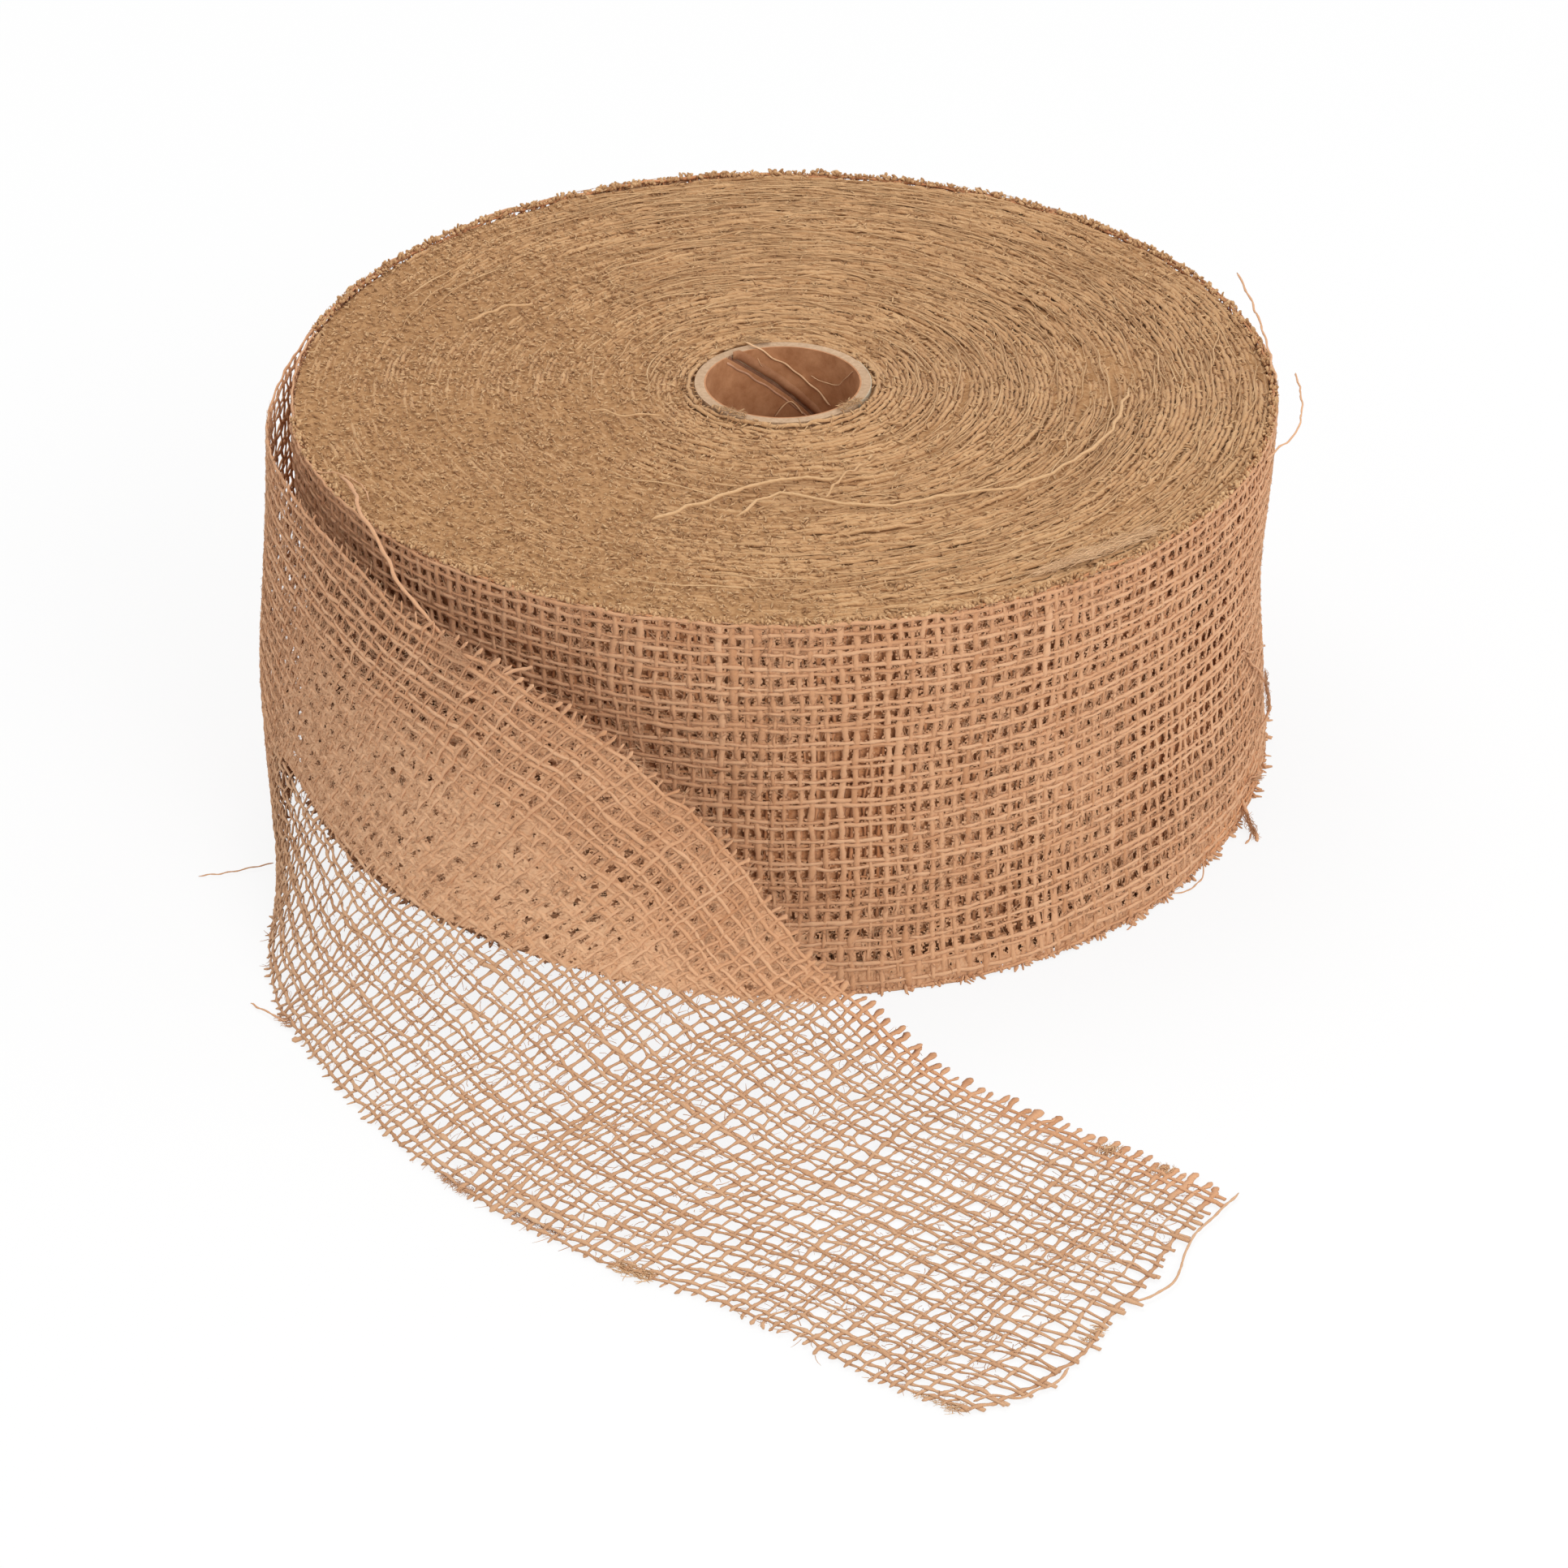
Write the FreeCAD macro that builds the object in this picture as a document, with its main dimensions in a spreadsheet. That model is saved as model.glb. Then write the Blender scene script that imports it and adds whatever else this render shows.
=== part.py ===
"""Roll of open-weave jute ribbon, wound on a spiral paper core and standing on its end.

The core's axis is +Z and the origin is its centre on the base. The outermost turn peels off
on the left (-X), twists round the front (-Y) as it falls over, and its end lies flat.
"""
import FreeCAD, Part
import math
import os
import Sketcher

SIZES = {
    "roll_diameter": 244.0,
    "ribbon_width": 100.0,
    "ribbon_thickness": 0.9,
    "bore_diameter": 38.0,
    "liner_thickness": 0.4,
    "board_thickness": 0.65,
    "wrap_thickness": 0.4,
    "tape_thickness": 0.15,
    "tape_length": 24.0,
    "seam_gap": 1.5,
    "seam_pitch": 97.0,
    "turn_clearance": 0.35,
    "bend_gap": 0.9,
    "flat_end_length": 75.0,
}
BOARD_PLIES = 3

PEEL_ANGLE = 168.0  # degrees about +Z from +X: where the outer turn leaves the roll
OPEN_ANGLE = 20.0  # degrees of the outer turn that are left out, where the tail passes over its start
SEAM_ANGLE = 137.0  # degrees about +Z from +X: where the liner's seam meets the top rim
LYING = 90.0  # lean in degrees of a strip that lies flat

# The tail's shape, from where it leaves the roll to where it lies flat. Its lower edge stands
# on the table: foot_angle is about the roll's axis and stand_off is from the roll's surface.
# From there the strip's width leans over, by lean degrees from upright towards lean_towards.
# heading is the way that the strip runs. All angles are in degrees.
TAIL_STATIONS = [
    # foot_angle, stand_off, lean_towards, lean, heading
    (176.0, 3.0, 264.0, 8.0, 264.0),
    (185.0, 5.4, 276.0, 10.5, 268.0),
    (201.5, 14.3, 312.0, 14.7, 272.0),
    (215.7, 31.2, 340.0, 23.8, 277.0),
    (226.9, 53.5, 358.0, 38.0, 288.0),
    (237.3, 70.1, 14.0, 53.0, 298.0),
    (247.0, 89.4, 31.0, 70.5, 308.0),
    (256.1, 107.1, 42.0, 79.5, 317.0),
    (260.6, 115.5, 47.5, 85.0, 321.0),
    (265.4, 122.2, 52.5, LYING, 322.5),
]

document = FreeCAD.newDocument("ribbon_roll")
sheet = document.addObject("Spreadsheet::Sheet", "Sizes")
for row, (alias, value) in enumerate(SIZES.items(), start=1):
    sheet.set(f"A{row}", alias)
    sheet.set(f"B{row}", str(value))
    sheet.setAlias(f"B{row}", alias)
document.recompute()

X_AXIS = FreeCAD.Vector(1, 0, 0)
Z_AXIS = FreeCAD.Vector(0, 0, 1)
subparts = []


def size(alias):
    """The sheet's value of one driving dimension, in millimetres."""
    return float(sheet.get(alias))


def new_body(label):
    body = document.addObject("PartDesign::Body", label)
    body.Label = label
    subparts.append(body)
    return body


def new_sketch(body, name, offset=None):
    """A sketch on the body's own XY plane, moved from there by offset."""
    plane = next(f for f in body.Origin.OriginFeatures if f.Role == "XY_Plane")
    sketch = body.newObject("Sketcher::SketchObject", name)
    sketch.AttachmentSupport = [(plane, "")]
    sketch.MapMode = "FlatFace"
    if offset is not None:
        sketch.AttachmentOffset = offset
    return sketch


def add_pad(body, sketch, length):
    pad = body.newObject("PartDesign::Pad", body.Label + "_pad")
    pad.Profile = sketch
    pad.setExpression("Length", length)
    return pad


def add_circle(sketch, radius):
    """A circle about the sketch's origin, whose radius is an expression."""
    circle = sketch.addGeometry(Part.Circle(FreeCAD.Vector(0, 0, 0), Z_AXIS, 10.0), False)
    sketch.addConstraint(Sketcher.Constraint("Coincident", circle, 3, -1, 1))
    rule = sketch.addConstraint(Sketcher.Constraint("Radius", circle, 10.0))
    sketch.setExpression(f"Constraints[{rule}]", radius)


def add_rectangle(sketch, across, along):
    """A rectangle that stands on the middle of its lower side. The sizes are expressions."""
    corners = [(-1, 0), (1, 0), (1, 10), (-1, 10)]
    points = [FreeCAD.Vector(x, y, 0) for x, y in corners]
    lines = [
        sketch.addGeometry(Part.LineSegment(points[i], points[(i + 1) % 4]), False)
        for i in range(4)
    ]
    for i in range(4):
        sketch.addConstraint(Sketcher.Constraint("Coincident", lines[i], 2, lines[(i + 1) % 4], 1))
    bottom, right, top, left = lines
    sketch.addConstraint(Sketcher.Constraint("Horizontal", top))
    sketch.addConstraint(Sketcher.Constraint("Vertical", right))
    sketch.addConstraint(Sketcher.Constraint("Vertical", left))
    sketch.addConstraint(Sketcher.Constraint("Symmetric", bottom, 1, bottom, 2, -2))
    wide = sketch.addConstraint(Sketcher.Constraint("DistanceX", bottom, 1, bottom, 2, 2.0))
    tall = sketch.addConstraint(Sketcher.Constraint("DistanceY", right, 1, right, 2, 10.0))
    sketch.setExpression(f"Constraints[{wide}]", across)
    sketch.setExpression(f"Constraints[{tall}]", along)
    sketch.addConstraint(Sketcher.Constraint("PointOnObject", bottom, 1, -1))


def add_arc_band(sketch, inner, outer, start_degrees, end_degrees):
    """A closed band between two arcs about the origin, as plain geometry of known radii."""
    start = math.radians(start_degrees)
    end = math.radians(end_degrees)
    centre = FreeCAD.Vector(0, 0, 0)
    ends = []
    for radius in (inner, outer):
        circle = Part.Circle(centre, Z_AXIS, radius)
        arc = sketch.addGeometry(Part.ArcOfCircle(circle, start, end), False)
        sketch.addConstraint(Sketcher.Constraint("Coincident", arc, 3, -1, 1))
        ends.append(arc)
    for vertex, angle in ((1, start), (2, end)):
        direction = FreeCAD.Vector(math.cos(angle), math.sin(angle), 0)
        line = sketch.addGeometry(Part.LineSegment(direction * inner, direction * outer), False)
        sketch.addConstraint(Sketcher.Constraint("Coincident", line, 1, ends[0], vertex))
        sketch.addConstraint(Sketcher.Constraint("Coincident", line, 2, ends[1], vertex))
        turn = sketch.addConstraint(Sketcher.Constraint("Angle", -1, 1, line, 1, angle))
        sketch.setDatum(turn, FreeCAD.Units.Quantity(f"{math.degrees(angle)} deg"))
    return ends


def tube(label, inner, outer):
    """A plain tube as tall as the ribbon is wide; the radii are expressions."""
    body = new_body(label)
    ring = new_sketch(body, label + "_ring")
    add_circle(ring, inner)
    add_circle(ring, outer)
    add_pad(body, ring, "Sizes.ribbon_width")
    return body


# Radii of the layers from the bore outwards, each as an expression of the sheet's cells.
BORE = "Sizes.bore_diameter / 2"
LINER_OUTER = BORE + " + Sizes.liner_thickness"


def board_outer(plies):
    return f"{LINER_OUTER} + {plies} * Sizes.board_thickness"


CORE_OUTER = board_outer(BOARD_PLIES) + " + Sizes.wrap_thickness"
TAPE_OUTER = CORE_OUTER + " + Sizes.tape_thickness"
TURN_OUTER = "Sizes.roll_diameter / 2"
TURN_INNER = TURN_OUTER + " - Sizes.ribbon_thickness"
PACK_OUTER = TURN_INNER + " - Sizes.turn_clearance"


def core_liner():
    """The innermost paper ply, whose edges leave an open seam that climbs as a helix."""
    plain = document.addObject("Part::Cylinder", "liner_outside")
    plain.setExpression("Radius", LINER_OUTER)
    plain.setExpression("Height", "Sizes.ribbon_width")
    bore = document.addObject("Part::Cylinder", "liner_bore")
    bore.setExpression("Radius", BORE)
    bore.setExpression("Height", "Sizes.ribbon_width")
    ring = document.addObject("Part::Cut", "liner_ring")
    ring.Base = plain
    ring.Tool = bore
    overrun = 0.1
    helix = document.addObject("Part::Helix", "seam_path")
    helix.setExpression("Radius", BORE)
    helix.setExpression("Pitch", "Sizes.seam_pitch")
    helix.setExpression("Height", f"Sizes.ribbon_width * (1 + 2 * {overrun})")
    slot = document.addObject("Sketcher::SketchObject", "seam_slot")
    slot.Placement = FreeCAD.Placement(
        FreeCAD.Vector(size("bore_diameter") / 2, 0, 0), FreeCAD.Rotation(X_AXIS, 90)
    )
    upright_gap = "Sizes.seam_gap * sqrt(1 + (Sizes.seam_pitch / (pi * Sizes.bore_diameter)) ^ 2)"
    add_rectangle(slot, "4 * Sizes.liner_thickness", upright_gap)
    cutter = document.addObject("Part::Sweep", "seam_cutter")
    cutter.Sections = [slot]
    cutter.Spine = (helix, [])
    cutter.Solid = True
    cutter.Frenet = True
    seam_turns = 1 + overrun
    below = -overrun * size("ribbon_width")
    start = SEAM_ANGLE - 360.0 * seam_turns * size("ribbon_width") / size("seam_pitch")
    cutter.Placement = FreeCAD.Placement(
        FreeCAD.Vector(0, 0, below), FreeCAD.Rotation(Z_AXIS, start)
    )
    liner = document.addObject("Part::Cut", "core_liner")
    liner.Label = "core_liner"
    liner.Base = ring
    liner.Tool = cutter
    subparts.append(liner)


def core():
    """The wound paper core: liner, board plies and outer wrap, each a ply of its own."""
    core_liner()
    for ply in range(1, BOARD_PLIES + 1):
        tube(f"core_board_{ply}", board_outer(ply - 1), board_outer(ply))
    tube("core_wrap", board_outer(BOARD_PLIES), CORE_OUTER)


def starter_tape():
    """The strip of tape that holds the ribbon's inner end to the core."""
    body = new_body("starter_tape")
    core_radius = size("bore_diameter") / 2 + size("liner_thickness") + size("wrap_thickness")
    core_radius += BOARD_PLIES * size("board_thickness")
    half_turn = math.degrees(size("tape_length") / core_radius) / 2
    band = new_sketch(body, "starter_tape_band")
    inner, outer = add_arc_band(
        band, core_radius, core_radius + size("tape_thickness"), -half_turn, half_turn
    )
    for arc, radius in ((inner, CORE_OUTER), (outer, TAPE_OUTER)):
        rule = band.addConstraint(Sketcher.Constraint("Radius", arc, band.Geometry[arc].Radius))
        band.setExpression(f"Constraints[{rule}]", radius)
    add_pad(body, band, "Sizes.ribbon_width")


def outer_turn():
    """The loose last turn of ribbon, open where the tail passes over its start."""
    body = new_body("ribbon_outer_turn")
    outer_radius = size("roll_diameter") / 2
    inner_radius = outer_radius - size("ribbon_thickness")
    half_gap = math.degrees(size("bend_gap") / 2 / outer_radius)
    band = new_sketch(body, "outer_turn_band")
    inner, outer = add_arc_band(
        band, inner_radius, outer_radius, PEEL_ANGLE + OPEN_ANGLE - 360.0, PEEL_ANGLE - half_gap
    )
    for arc, radius in ((inner, TURN_INNER), (outer, TURN_OUTER)):
        rule = band.addConstraint(Sketcher.Constraint("Radius", arc, band.Geometry[arc].Radius))
        band.setExpression(f"Constraints[{rule}]", radius)
    add_pad(body, band, "Sizes.ribbon_width")


def unit(degrees):
    """The level unit vector at this angle about +Z."""
    return FreeCAD.Vector(math.cos(math.radians(degrees)), math.sin(math.radians(degrees)), 0)


def section_placement(foot, lean_towards, lean, heading):
    """Where a cross-section of the strip stands: its X is through the thickness, its Y up the width."""
    tilt = math.radians(lean)
    up_width = unit(lean_towards) * math.sin(tilt) + Z_AXIS * math.cos(tilt)
    through = up_width.cross(unit(heading))
    through.normalize()
    along = through.cross(up_width)
    lift = Z_AXIS * (size("ribbon_thickness") / 2 * abs(through.z))
    turn = FreeCAD.Rotation(through, up_width, along, "ZYX")
    return FreeCAD.Placement(foot + lift, turn)


def tail_places():
    """The placements of the tail's cross-sections, starting square to the outer turn's end."""
    roll_radius = size("roll_diameter") / 2
    middle = roll_radius - size("ribbon_thickness") / 2
    start = PEEL_ANGLE + math.degrees(size("bend_gap") / 2 / roll_radius)
    places = [section_placement(unit(start) * middle, start, 0.0, start + 90.0)]
    for foot_angle, stand_off, lean_towards, lean, heading in TAIL_STATIONS:
        foot = unit(foot_angle) * (roll_radius + stand_off)
        places.append(section_placement(foot, lean_towards, lean, heading))
    return places


def tail():
    """The free stretch of ribbon from the roll to the table, lofted through its cross-sections."""
    body = new_body("ribbon_tail")
    sections = []
    for number, place in enumerate(tail_places()):
        section = new_sketch(body, f"tail_section_{number}", place)
        add_rectangle(section, "Sizes.ribbon_thickness", "Sizes.ribbon_width")
        sections.append(section)
    loft = body.newObject("PartDesign::AdditiveLoft", "tail_loft")
    loft.Profile = sections[0]
    loft.Sections = sections[1:]
    loft.Ruled = False


def tail_end():
    """The ribbon's flat end on the table, from the bend to the raw cut."""
    body = new_body("ribbon_tail_end")
    foot_angle, stand_off, across, _, heading = TAIL_STATIONS[-1]
    foot = unit(foot_angle) * (size("roll_diameter") / 2 + stand_off)
    middle = foot + unit(heading) * (size("bend_gap") + size("flat_end_length") / 2)
    turn = FreeCAD.Rotation(unit(heading), unit(across), Z_AXIS, "ZYX")
    outline = new_sketch(body, "tail_end_outline", FreeCAD.Placement(middle, turn))
    add_rectangle(outline, "Sizes.flat_end_length", "Sizes.ribbon_width")
    add_pad(body, outline, "Sizes.ribbon_thickness")


def check_and_write():
    """Stops at a failed feature or a bad solid, and otherwise writes one STEP file per sub-part."""
    document.recompute()
    for thing in document.Objects:
        if "Invalid" in thing.State or "Error" in thing.State:
            raise RuntimeError(f"{thing.Name} failed: {thing.State}")
    for part in subparts:
        shape = part.Shape
        if shape.isNull() or not shape.isValid() or not shape.Solids:
            raise RuntimeError(f"{part.Label} has no valid solid")
    os.makedirs("parts", exist_ok=True)
    for part in subparts:
        part.Shape.exportStep(f"parts/{part.Label}.step")
        box = part.Shape.BoundBox
        print(f"{part.Label}: {part.Shape.Volume:.0f} mm3, solids {len(part.Shape.Solids)}, box {box}")


core()
starter_tape()
tube("ribbon_pack", TAPE_OUTER, PACK_OUTER)
outer_turn()
tail()
tail_end()
check_and_write()
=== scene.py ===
"""A roll of open jute ribbon on a paper core, with its last turn pulled off and laid on the table.

Lengths are in millimetres until a mesh is made. The CAD model gives the places. On the ribbon, s
is the place along it, 0 where it leaves the roll and more towards its end, and v is the height
across it, 0 at the lower edge and WIDTH at the upper one.
"""

import math

import bpy
import numpy as np
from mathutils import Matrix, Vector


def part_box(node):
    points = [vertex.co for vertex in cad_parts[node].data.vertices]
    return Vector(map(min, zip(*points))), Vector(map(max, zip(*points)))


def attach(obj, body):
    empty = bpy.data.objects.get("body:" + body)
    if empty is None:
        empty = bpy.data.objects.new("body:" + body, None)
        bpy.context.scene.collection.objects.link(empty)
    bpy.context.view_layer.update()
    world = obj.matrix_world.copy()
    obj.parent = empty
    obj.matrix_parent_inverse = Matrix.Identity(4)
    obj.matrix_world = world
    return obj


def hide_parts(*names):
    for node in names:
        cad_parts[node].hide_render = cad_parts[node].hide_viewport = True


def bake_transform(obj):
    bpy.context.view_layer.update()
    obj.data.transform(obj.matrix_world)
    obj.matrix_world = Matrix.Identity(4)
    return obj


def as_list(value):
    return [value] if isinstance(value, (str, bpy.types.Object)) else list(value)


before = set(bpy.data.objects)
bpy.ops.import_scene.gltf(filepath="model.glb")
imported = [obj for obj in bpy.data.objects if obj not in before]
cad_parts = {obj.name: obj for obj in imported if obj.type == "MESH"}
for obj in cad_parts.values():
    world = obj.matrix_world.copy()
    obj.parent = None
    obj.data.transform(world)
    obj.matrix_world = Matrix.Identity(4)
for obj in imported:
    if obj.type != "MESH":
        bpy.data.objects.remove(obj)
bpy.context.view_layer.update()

MM = 0.001
TAU = 2 * math.pi
rng = np.random.default_rng(8)

# ---------------------------------------------------------------- sizes
outer_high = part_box("ribbon_outer_turn")[1]
ROLL_R = outer_high.x / MM
WIDTH = outer_high.z / MM
RIBBON_THICK = 0.9
LAYER_R = ROLL_R - RIBBON_THICK / 2
UNDER_R = LAYER_R - 0.85
CORE_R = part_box("core_wrap")[1].x / MM

PEEL_ANGLE = 168.0
OPEN_ANGLE = 20.0

# The tail's sections, the same as in part.py: the foot's angle about the roll's axis and its
# distance from the roll, the way the ribbon leans, how far it leans, and the way it runs.
STATIONS = (
    (176.0, 3.0, 264.0, 8.0, 264.0),
    (185.0, 5.4, 276.0, 10.5, 268.0),
    (201.5, 14.3, 312.0, 14.7, 272.0),
    (215.7, 31.2, 340.0, 23.8, 277.0),
    (226.9, 53.5, 358.0, 38.0, 288.0),
    (237.3, 70.1, 14.0, 53.0, 298.0),
    (247.0, 89.4, 31.0, 70.5, 308.0),
    (256.1, 107.1, 42.0, 79.5, 317.0),
    (260.6, 115.5, 47.5, 85.0, 321.0),
    (265.4, 122.2, 52.5, 90.0, 322.5),
)
FLAT_END = 75.0
END_ROOM = 14.0

# The cloth: pairs of warps along the ribbon, wefts across it.
WARP_PAIRS = 19
PAIR_GAP = 1.55
WEFT_PITCH = 3.3
WARP_HALF = 0.48
WEFT_HALF = 0.64
WARP_LIFT = 0.12
YARN_HALF_HEIGHT = 0.29
CRIMP = 0.24
ROLL_FRINGE = 0.35
TAIL_FRINGE = 2.8
TAIL_LOW_FRINGE = 1.7
# The cloth opens up from here on, over this length, once it is free of the roll.
OPENS_FROM, OPENS_OVER = 20.0, 80.0
RAW_END_REACH = 15.0
# Where the pieces of the loose cloth meet, along the ribbon from the line where it leaves the roll.
PEEL_FROM, PEEL_TO, TAIL_SPLIT = -40.0, 60.0, 216.0
# The table of the strip: its step, what is kept before the peel line, and the rows averaged.
TABLE_STEP = 0.5
BEFORE_PEEL = (45.0, 30.0, 15.0, 0.0)
SMOOTHED_ROWS = 50
# Nothing lies lower than this: the middle of a yarn, and any point of a mesh.
LOWEST_YARN, LOWEST_POINT = 0.42, 0.04


def on_circle(radius, angle, z):
    return np.stack((radius * np.cos(angle), radius * np.sin(angle), z), axis=-1)


def polar(radius, degrees):
    turn = math.radians(degrees)
    return np.array((radius * math.cos(turn), radius * math.sin(turn)))


def unit(vectors):
    return vectors / np.maximum(np.linalg.norm(vectors, axis=-1, keepdims=True), 1e-9)


def wander(x, wave, rows, parts=4):
    """Smooth random curves of about unit size, one for each row of x."""
    waves = wave * rng.uniform(0.6, 1.8, (rows, 1, parts))
    phases = rng.uniform(0, TAU, (rows, 1, parts))
    x = np.broadcast_to(x, (rows, np.shape(x)[-1]))
    return np.sin(TAU * x[..., None] / waves + phases).sum(-1) * math.sqrt(2 / parts)


def make_field(wave, parts=10):
    """A smooth random function of two lengths, of about unit size."""
    ways = rng.uniform(0, TAU, parts)
    rates = TAU / (wave * rng.uniform(0.6, 1.9, parts))
    phases = rng.uniform(0, TAU, parts)

    def field(x, y):
        total = 0.0
        for way, rate, phase in zip(ways, rates, phases):
            total = total + np.sin(rate * (x * math.cos(way) + y * math.sin(way)) + phase)
        return total * math.sqrt(2 / parts)

    return field


# ---------------------------------------------------------------- the ribbon's surface
def hermite(x, knots, values):
    """A smooth curve through the values at the knots."""
    steps = np.diff(knots)
    slopes = np.diff(values, axis=0) / steps[:, None]
    tangents = np.empty_like(values)
    before, after = steps[:-1, None], steps[1:, None]
    tangents[1:-1] = (slopes[:-1] * after + slopes[1:] * before) / (before + after)
    tangents[0], tangents[-1] = slopes[0], slopes[-1]
    i = np.clip(np.searchsorted(knots, x) - 1, 0, len(steps) - 1)
    t = ((x - knots[i]) / steps[i])[:, None]
    h = steps[i][:, None]
    return (
        values[i] * (2 * t**3 - 3 * t**2 + 1)
        + tangents[i] * h * (t**3 - 2 * t**2 + t)
        + values[i + 1] * (3 * t**2 - 2 * t**3)
        + tangents[i + 1] * h * (t**3 - t**2)
    )


def smoothed(curve, reach):
    """The same curve with its small unevenness averaged out; its ends stay where they are."""
    weights = np.hanning(2 * reach + 1)
    weights /= weights.sum()
    first = 2 * curve[:1] - curve[reach:0:-1]
    last = 2 * curve[-1:] - curve[-2 : -reach - 2 : -1]
    longer = np.concatenate((first, curve, last))
    return np.column_stack([np.convolve(longer[:, i], weights, "valid") for i in range(curve.shape[1])])


def tail_sections():
    """The foot and the sideways lean of each section, from a little before the peel line on."""
    rows = []
    for back in BEFORE_PEEL:
        foot = polar(LAYER_R, PEEL_ANGLE - math.degrees(back / LAYER_R))
        rows.append((*foot, 0.0, 0.0, 1.0))
    for foot_angle, stand_off, lean_towards, lean, heading in STATIONS:
        foot = polar(ROLL_R + stand_off, foot_angle)
        tilt = math.radians(lean)
        rows.append((*foot, *polar(math.sin(tilt), lean_towards), math.cos(tilt)))
    for further in (FLAT_END / 2, FLAT_END, FLAT_END + END_ROOM):
        rows.append((*(foot + polar(further, heading)), *polar(1.0, lean_towards), 0.0))
    return np.array(rows)


def strip_table():
    """For each place along the ribbon: its foot, the way across it and the way out of it."""
    sections = tail_sections()
    chords = np.linalg.norm(np.diff(sections[:, :2], axis=0), axis=1)
    knots = np.concatenate(([0], np.cumsum(chords)))
    knots -= knots[len(BEFORE_PEEL) - 1]
    fine = np.arange(0, knots[-1], TABLE_STEP)
    curve = hermite(fine, knots, sections)
    lengths = np.concatenate(([0], np.cumsum(np.linalg.norm(np.diff(curve[:, :2], axis=0), axis=1))))
    curve = smoothed(curve, SMOOTHED_ROWS)
    back = np.arange(-TAU * LAYER_R * 1.02, 0, TABLE_STEP)
    turns = math.radians(PEEL_ANGLE) + back / LAYER_R
    round_part = np.zeros((len(turns), 5))
    round_part[:, 0] = LAYER_R * np.cos(turns)
    round_part[:, 1] = LAYER_R * np.sin(turns)
    round_part[:, 4] = 1
    along = np.concatenate((back, lengths))
    curve = np.concatenate((round_part, curve))
    foot = np.column_stack((curve[:, :2], np.zeros(len(curve))))
    across = unit(curve[:, 2:])
    forward = unit(np.gradient(foot, along, axis=0))
    out = unit(np.cross(forward, across))
    return along, foot, across, out


ALONG, FOOT, ACROSS, OUT = strip_table()
TAIL_LENGTH = ALONG[-1] - END_ROOM
TURN_LENGTH = math.radians(360 - OPEN_ANGLE) * LAYER_R


def look_up(table, s):
    return np.stack([np.interp(s, ALONG, table[:, i]) for i in range(3)], axis=-1)


def waist(v):
    """The roll's wall is drawn in at mid height and spreads a little at the table."""
    return 0.9 * np.exp(-((v / 9.0) ** 2)) - 2.6 * np.exp(-(((v - 53.0) / 27.0) ** 2))


FOOT_WAY = (-115.0, -90.0, -65.0, -45.0, -32.0, -15.0, 0.0)
FOOT_OUT = (0.0, 2.0, 2.4, 1.2, -0.7, -1.1, 0.0)


def foot_spread(s, v):
    """The last turn's lower edge stands out at the front and is drawn in at the right."""
    around = PEEL_ANGLE + np.degrees(s / LAYER_R)
    return np.interp(around, FOOT_WAY, FOOT_OUT) * np.exp(-((v / 14.0) ** 2))


BELLY_OUT = 4.8
TUCK_IN = 5.0


def belly(s, v):
    """Where it leaves the roll the ribbon stands out at mid height and tucks in at its foot."""
    share = np.interp(s, (15.0, 50.0, 90.0, 130.0), (0.0, 1.0, 1.0, 0.0))
    height = np.clip(v / WIDTH, 0, 1)
    return share * (BELLY_OUT * np.sin(math.pi * height**0.6) - TUCK_IN * (1 - height) ** 4)


def drawn_wide(s, v):
    """How far the open cloth is pulled out of shape across its width, in mm."""
    upper = np.interp(
        s,
        (115.0, 145.0, 168.0, 186.0, 205.0, 225.0, 248.0),
        (0.0, 6.5, 7.5, 5.0, 4.5, 2.0, 0.0),
    )
    lower = np.interp(s, (285.0, 305.0, 372.0, 385.0), (0.0, 2.2, 3.6, 1.0))
    height = np.clip(v / WIDTH, 0, 1)
    return upper * height**2 - lower * (1 - height) ** 2


def on_strip(s, v, height):
    """Points on the ribbon and the way out of it there: s along it, v across it."""
    foot, across, out = look_up(FOOT, s), look_up(ACROSS, s), look_up(OUT, s)
    out = unit(out)
    below = np.minimum(v, 0)[..., None]
    lift = 0.75 * np.abs(out[..., 2:])
    reach = v + drawn_wide(s, v)
    points = foot + across * reach[..., None] + out * (height[..., None] + lift)
    flat_out = out * np.array((1, 1, 0))
    points = points - flat_out * below * 0.7
    round_roll = np.clip(-s / 30, 0, 1)
    pushed = round_roll * (waist(v) + foot_spread(s, v)) + belly(s, v)
    points = points + flat_out * pushed[..., None]
    points[..., 2] = np.maximum(points[..., 2], LOWEST_YARN)
    return points, out


def on_roll(radius):
    """The same for a full turn of ribbon on the roll."""

    def place(s, v, height):
        turn = s / radius
        out = on_circle(1, turn, 0 * turn)
        points = out * (radius + waist(v) + height)[..., None]
        points[..., 2] = np.maximum(v, LOWEST_YARN)
        return points, out

    return place


# ---------------------------------------------------------------- tubes
def upright(paths, up=1.0):
    outs = np.zeros_like(paths)
    outs[..., 2] = up
    return outs


def tube_points(paths, outs, wide, high, sides):
    """A ring of points round each place of each path; high is measured along outs."""
    forward = unit(np.gradient(paths, axis=1))
    side = unit(np.cross(forward, outs))
    up = np.cross(side, forward)
    angles = TAU * np.arange(sides) / sides + TAU / 4
    sideways = side[:, :, None] * (wide[..., None] * np.cos(angles))[..., None]
    upwards = up[:, :, None] * (high[..., None] * np.sin(angles))[..., None]
    points = paths[:, :, None] + (sideways + upwards)
    points[..., 2] = np.maximum(points[..., 2], LOWEST_POINT)
    return points


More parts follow.
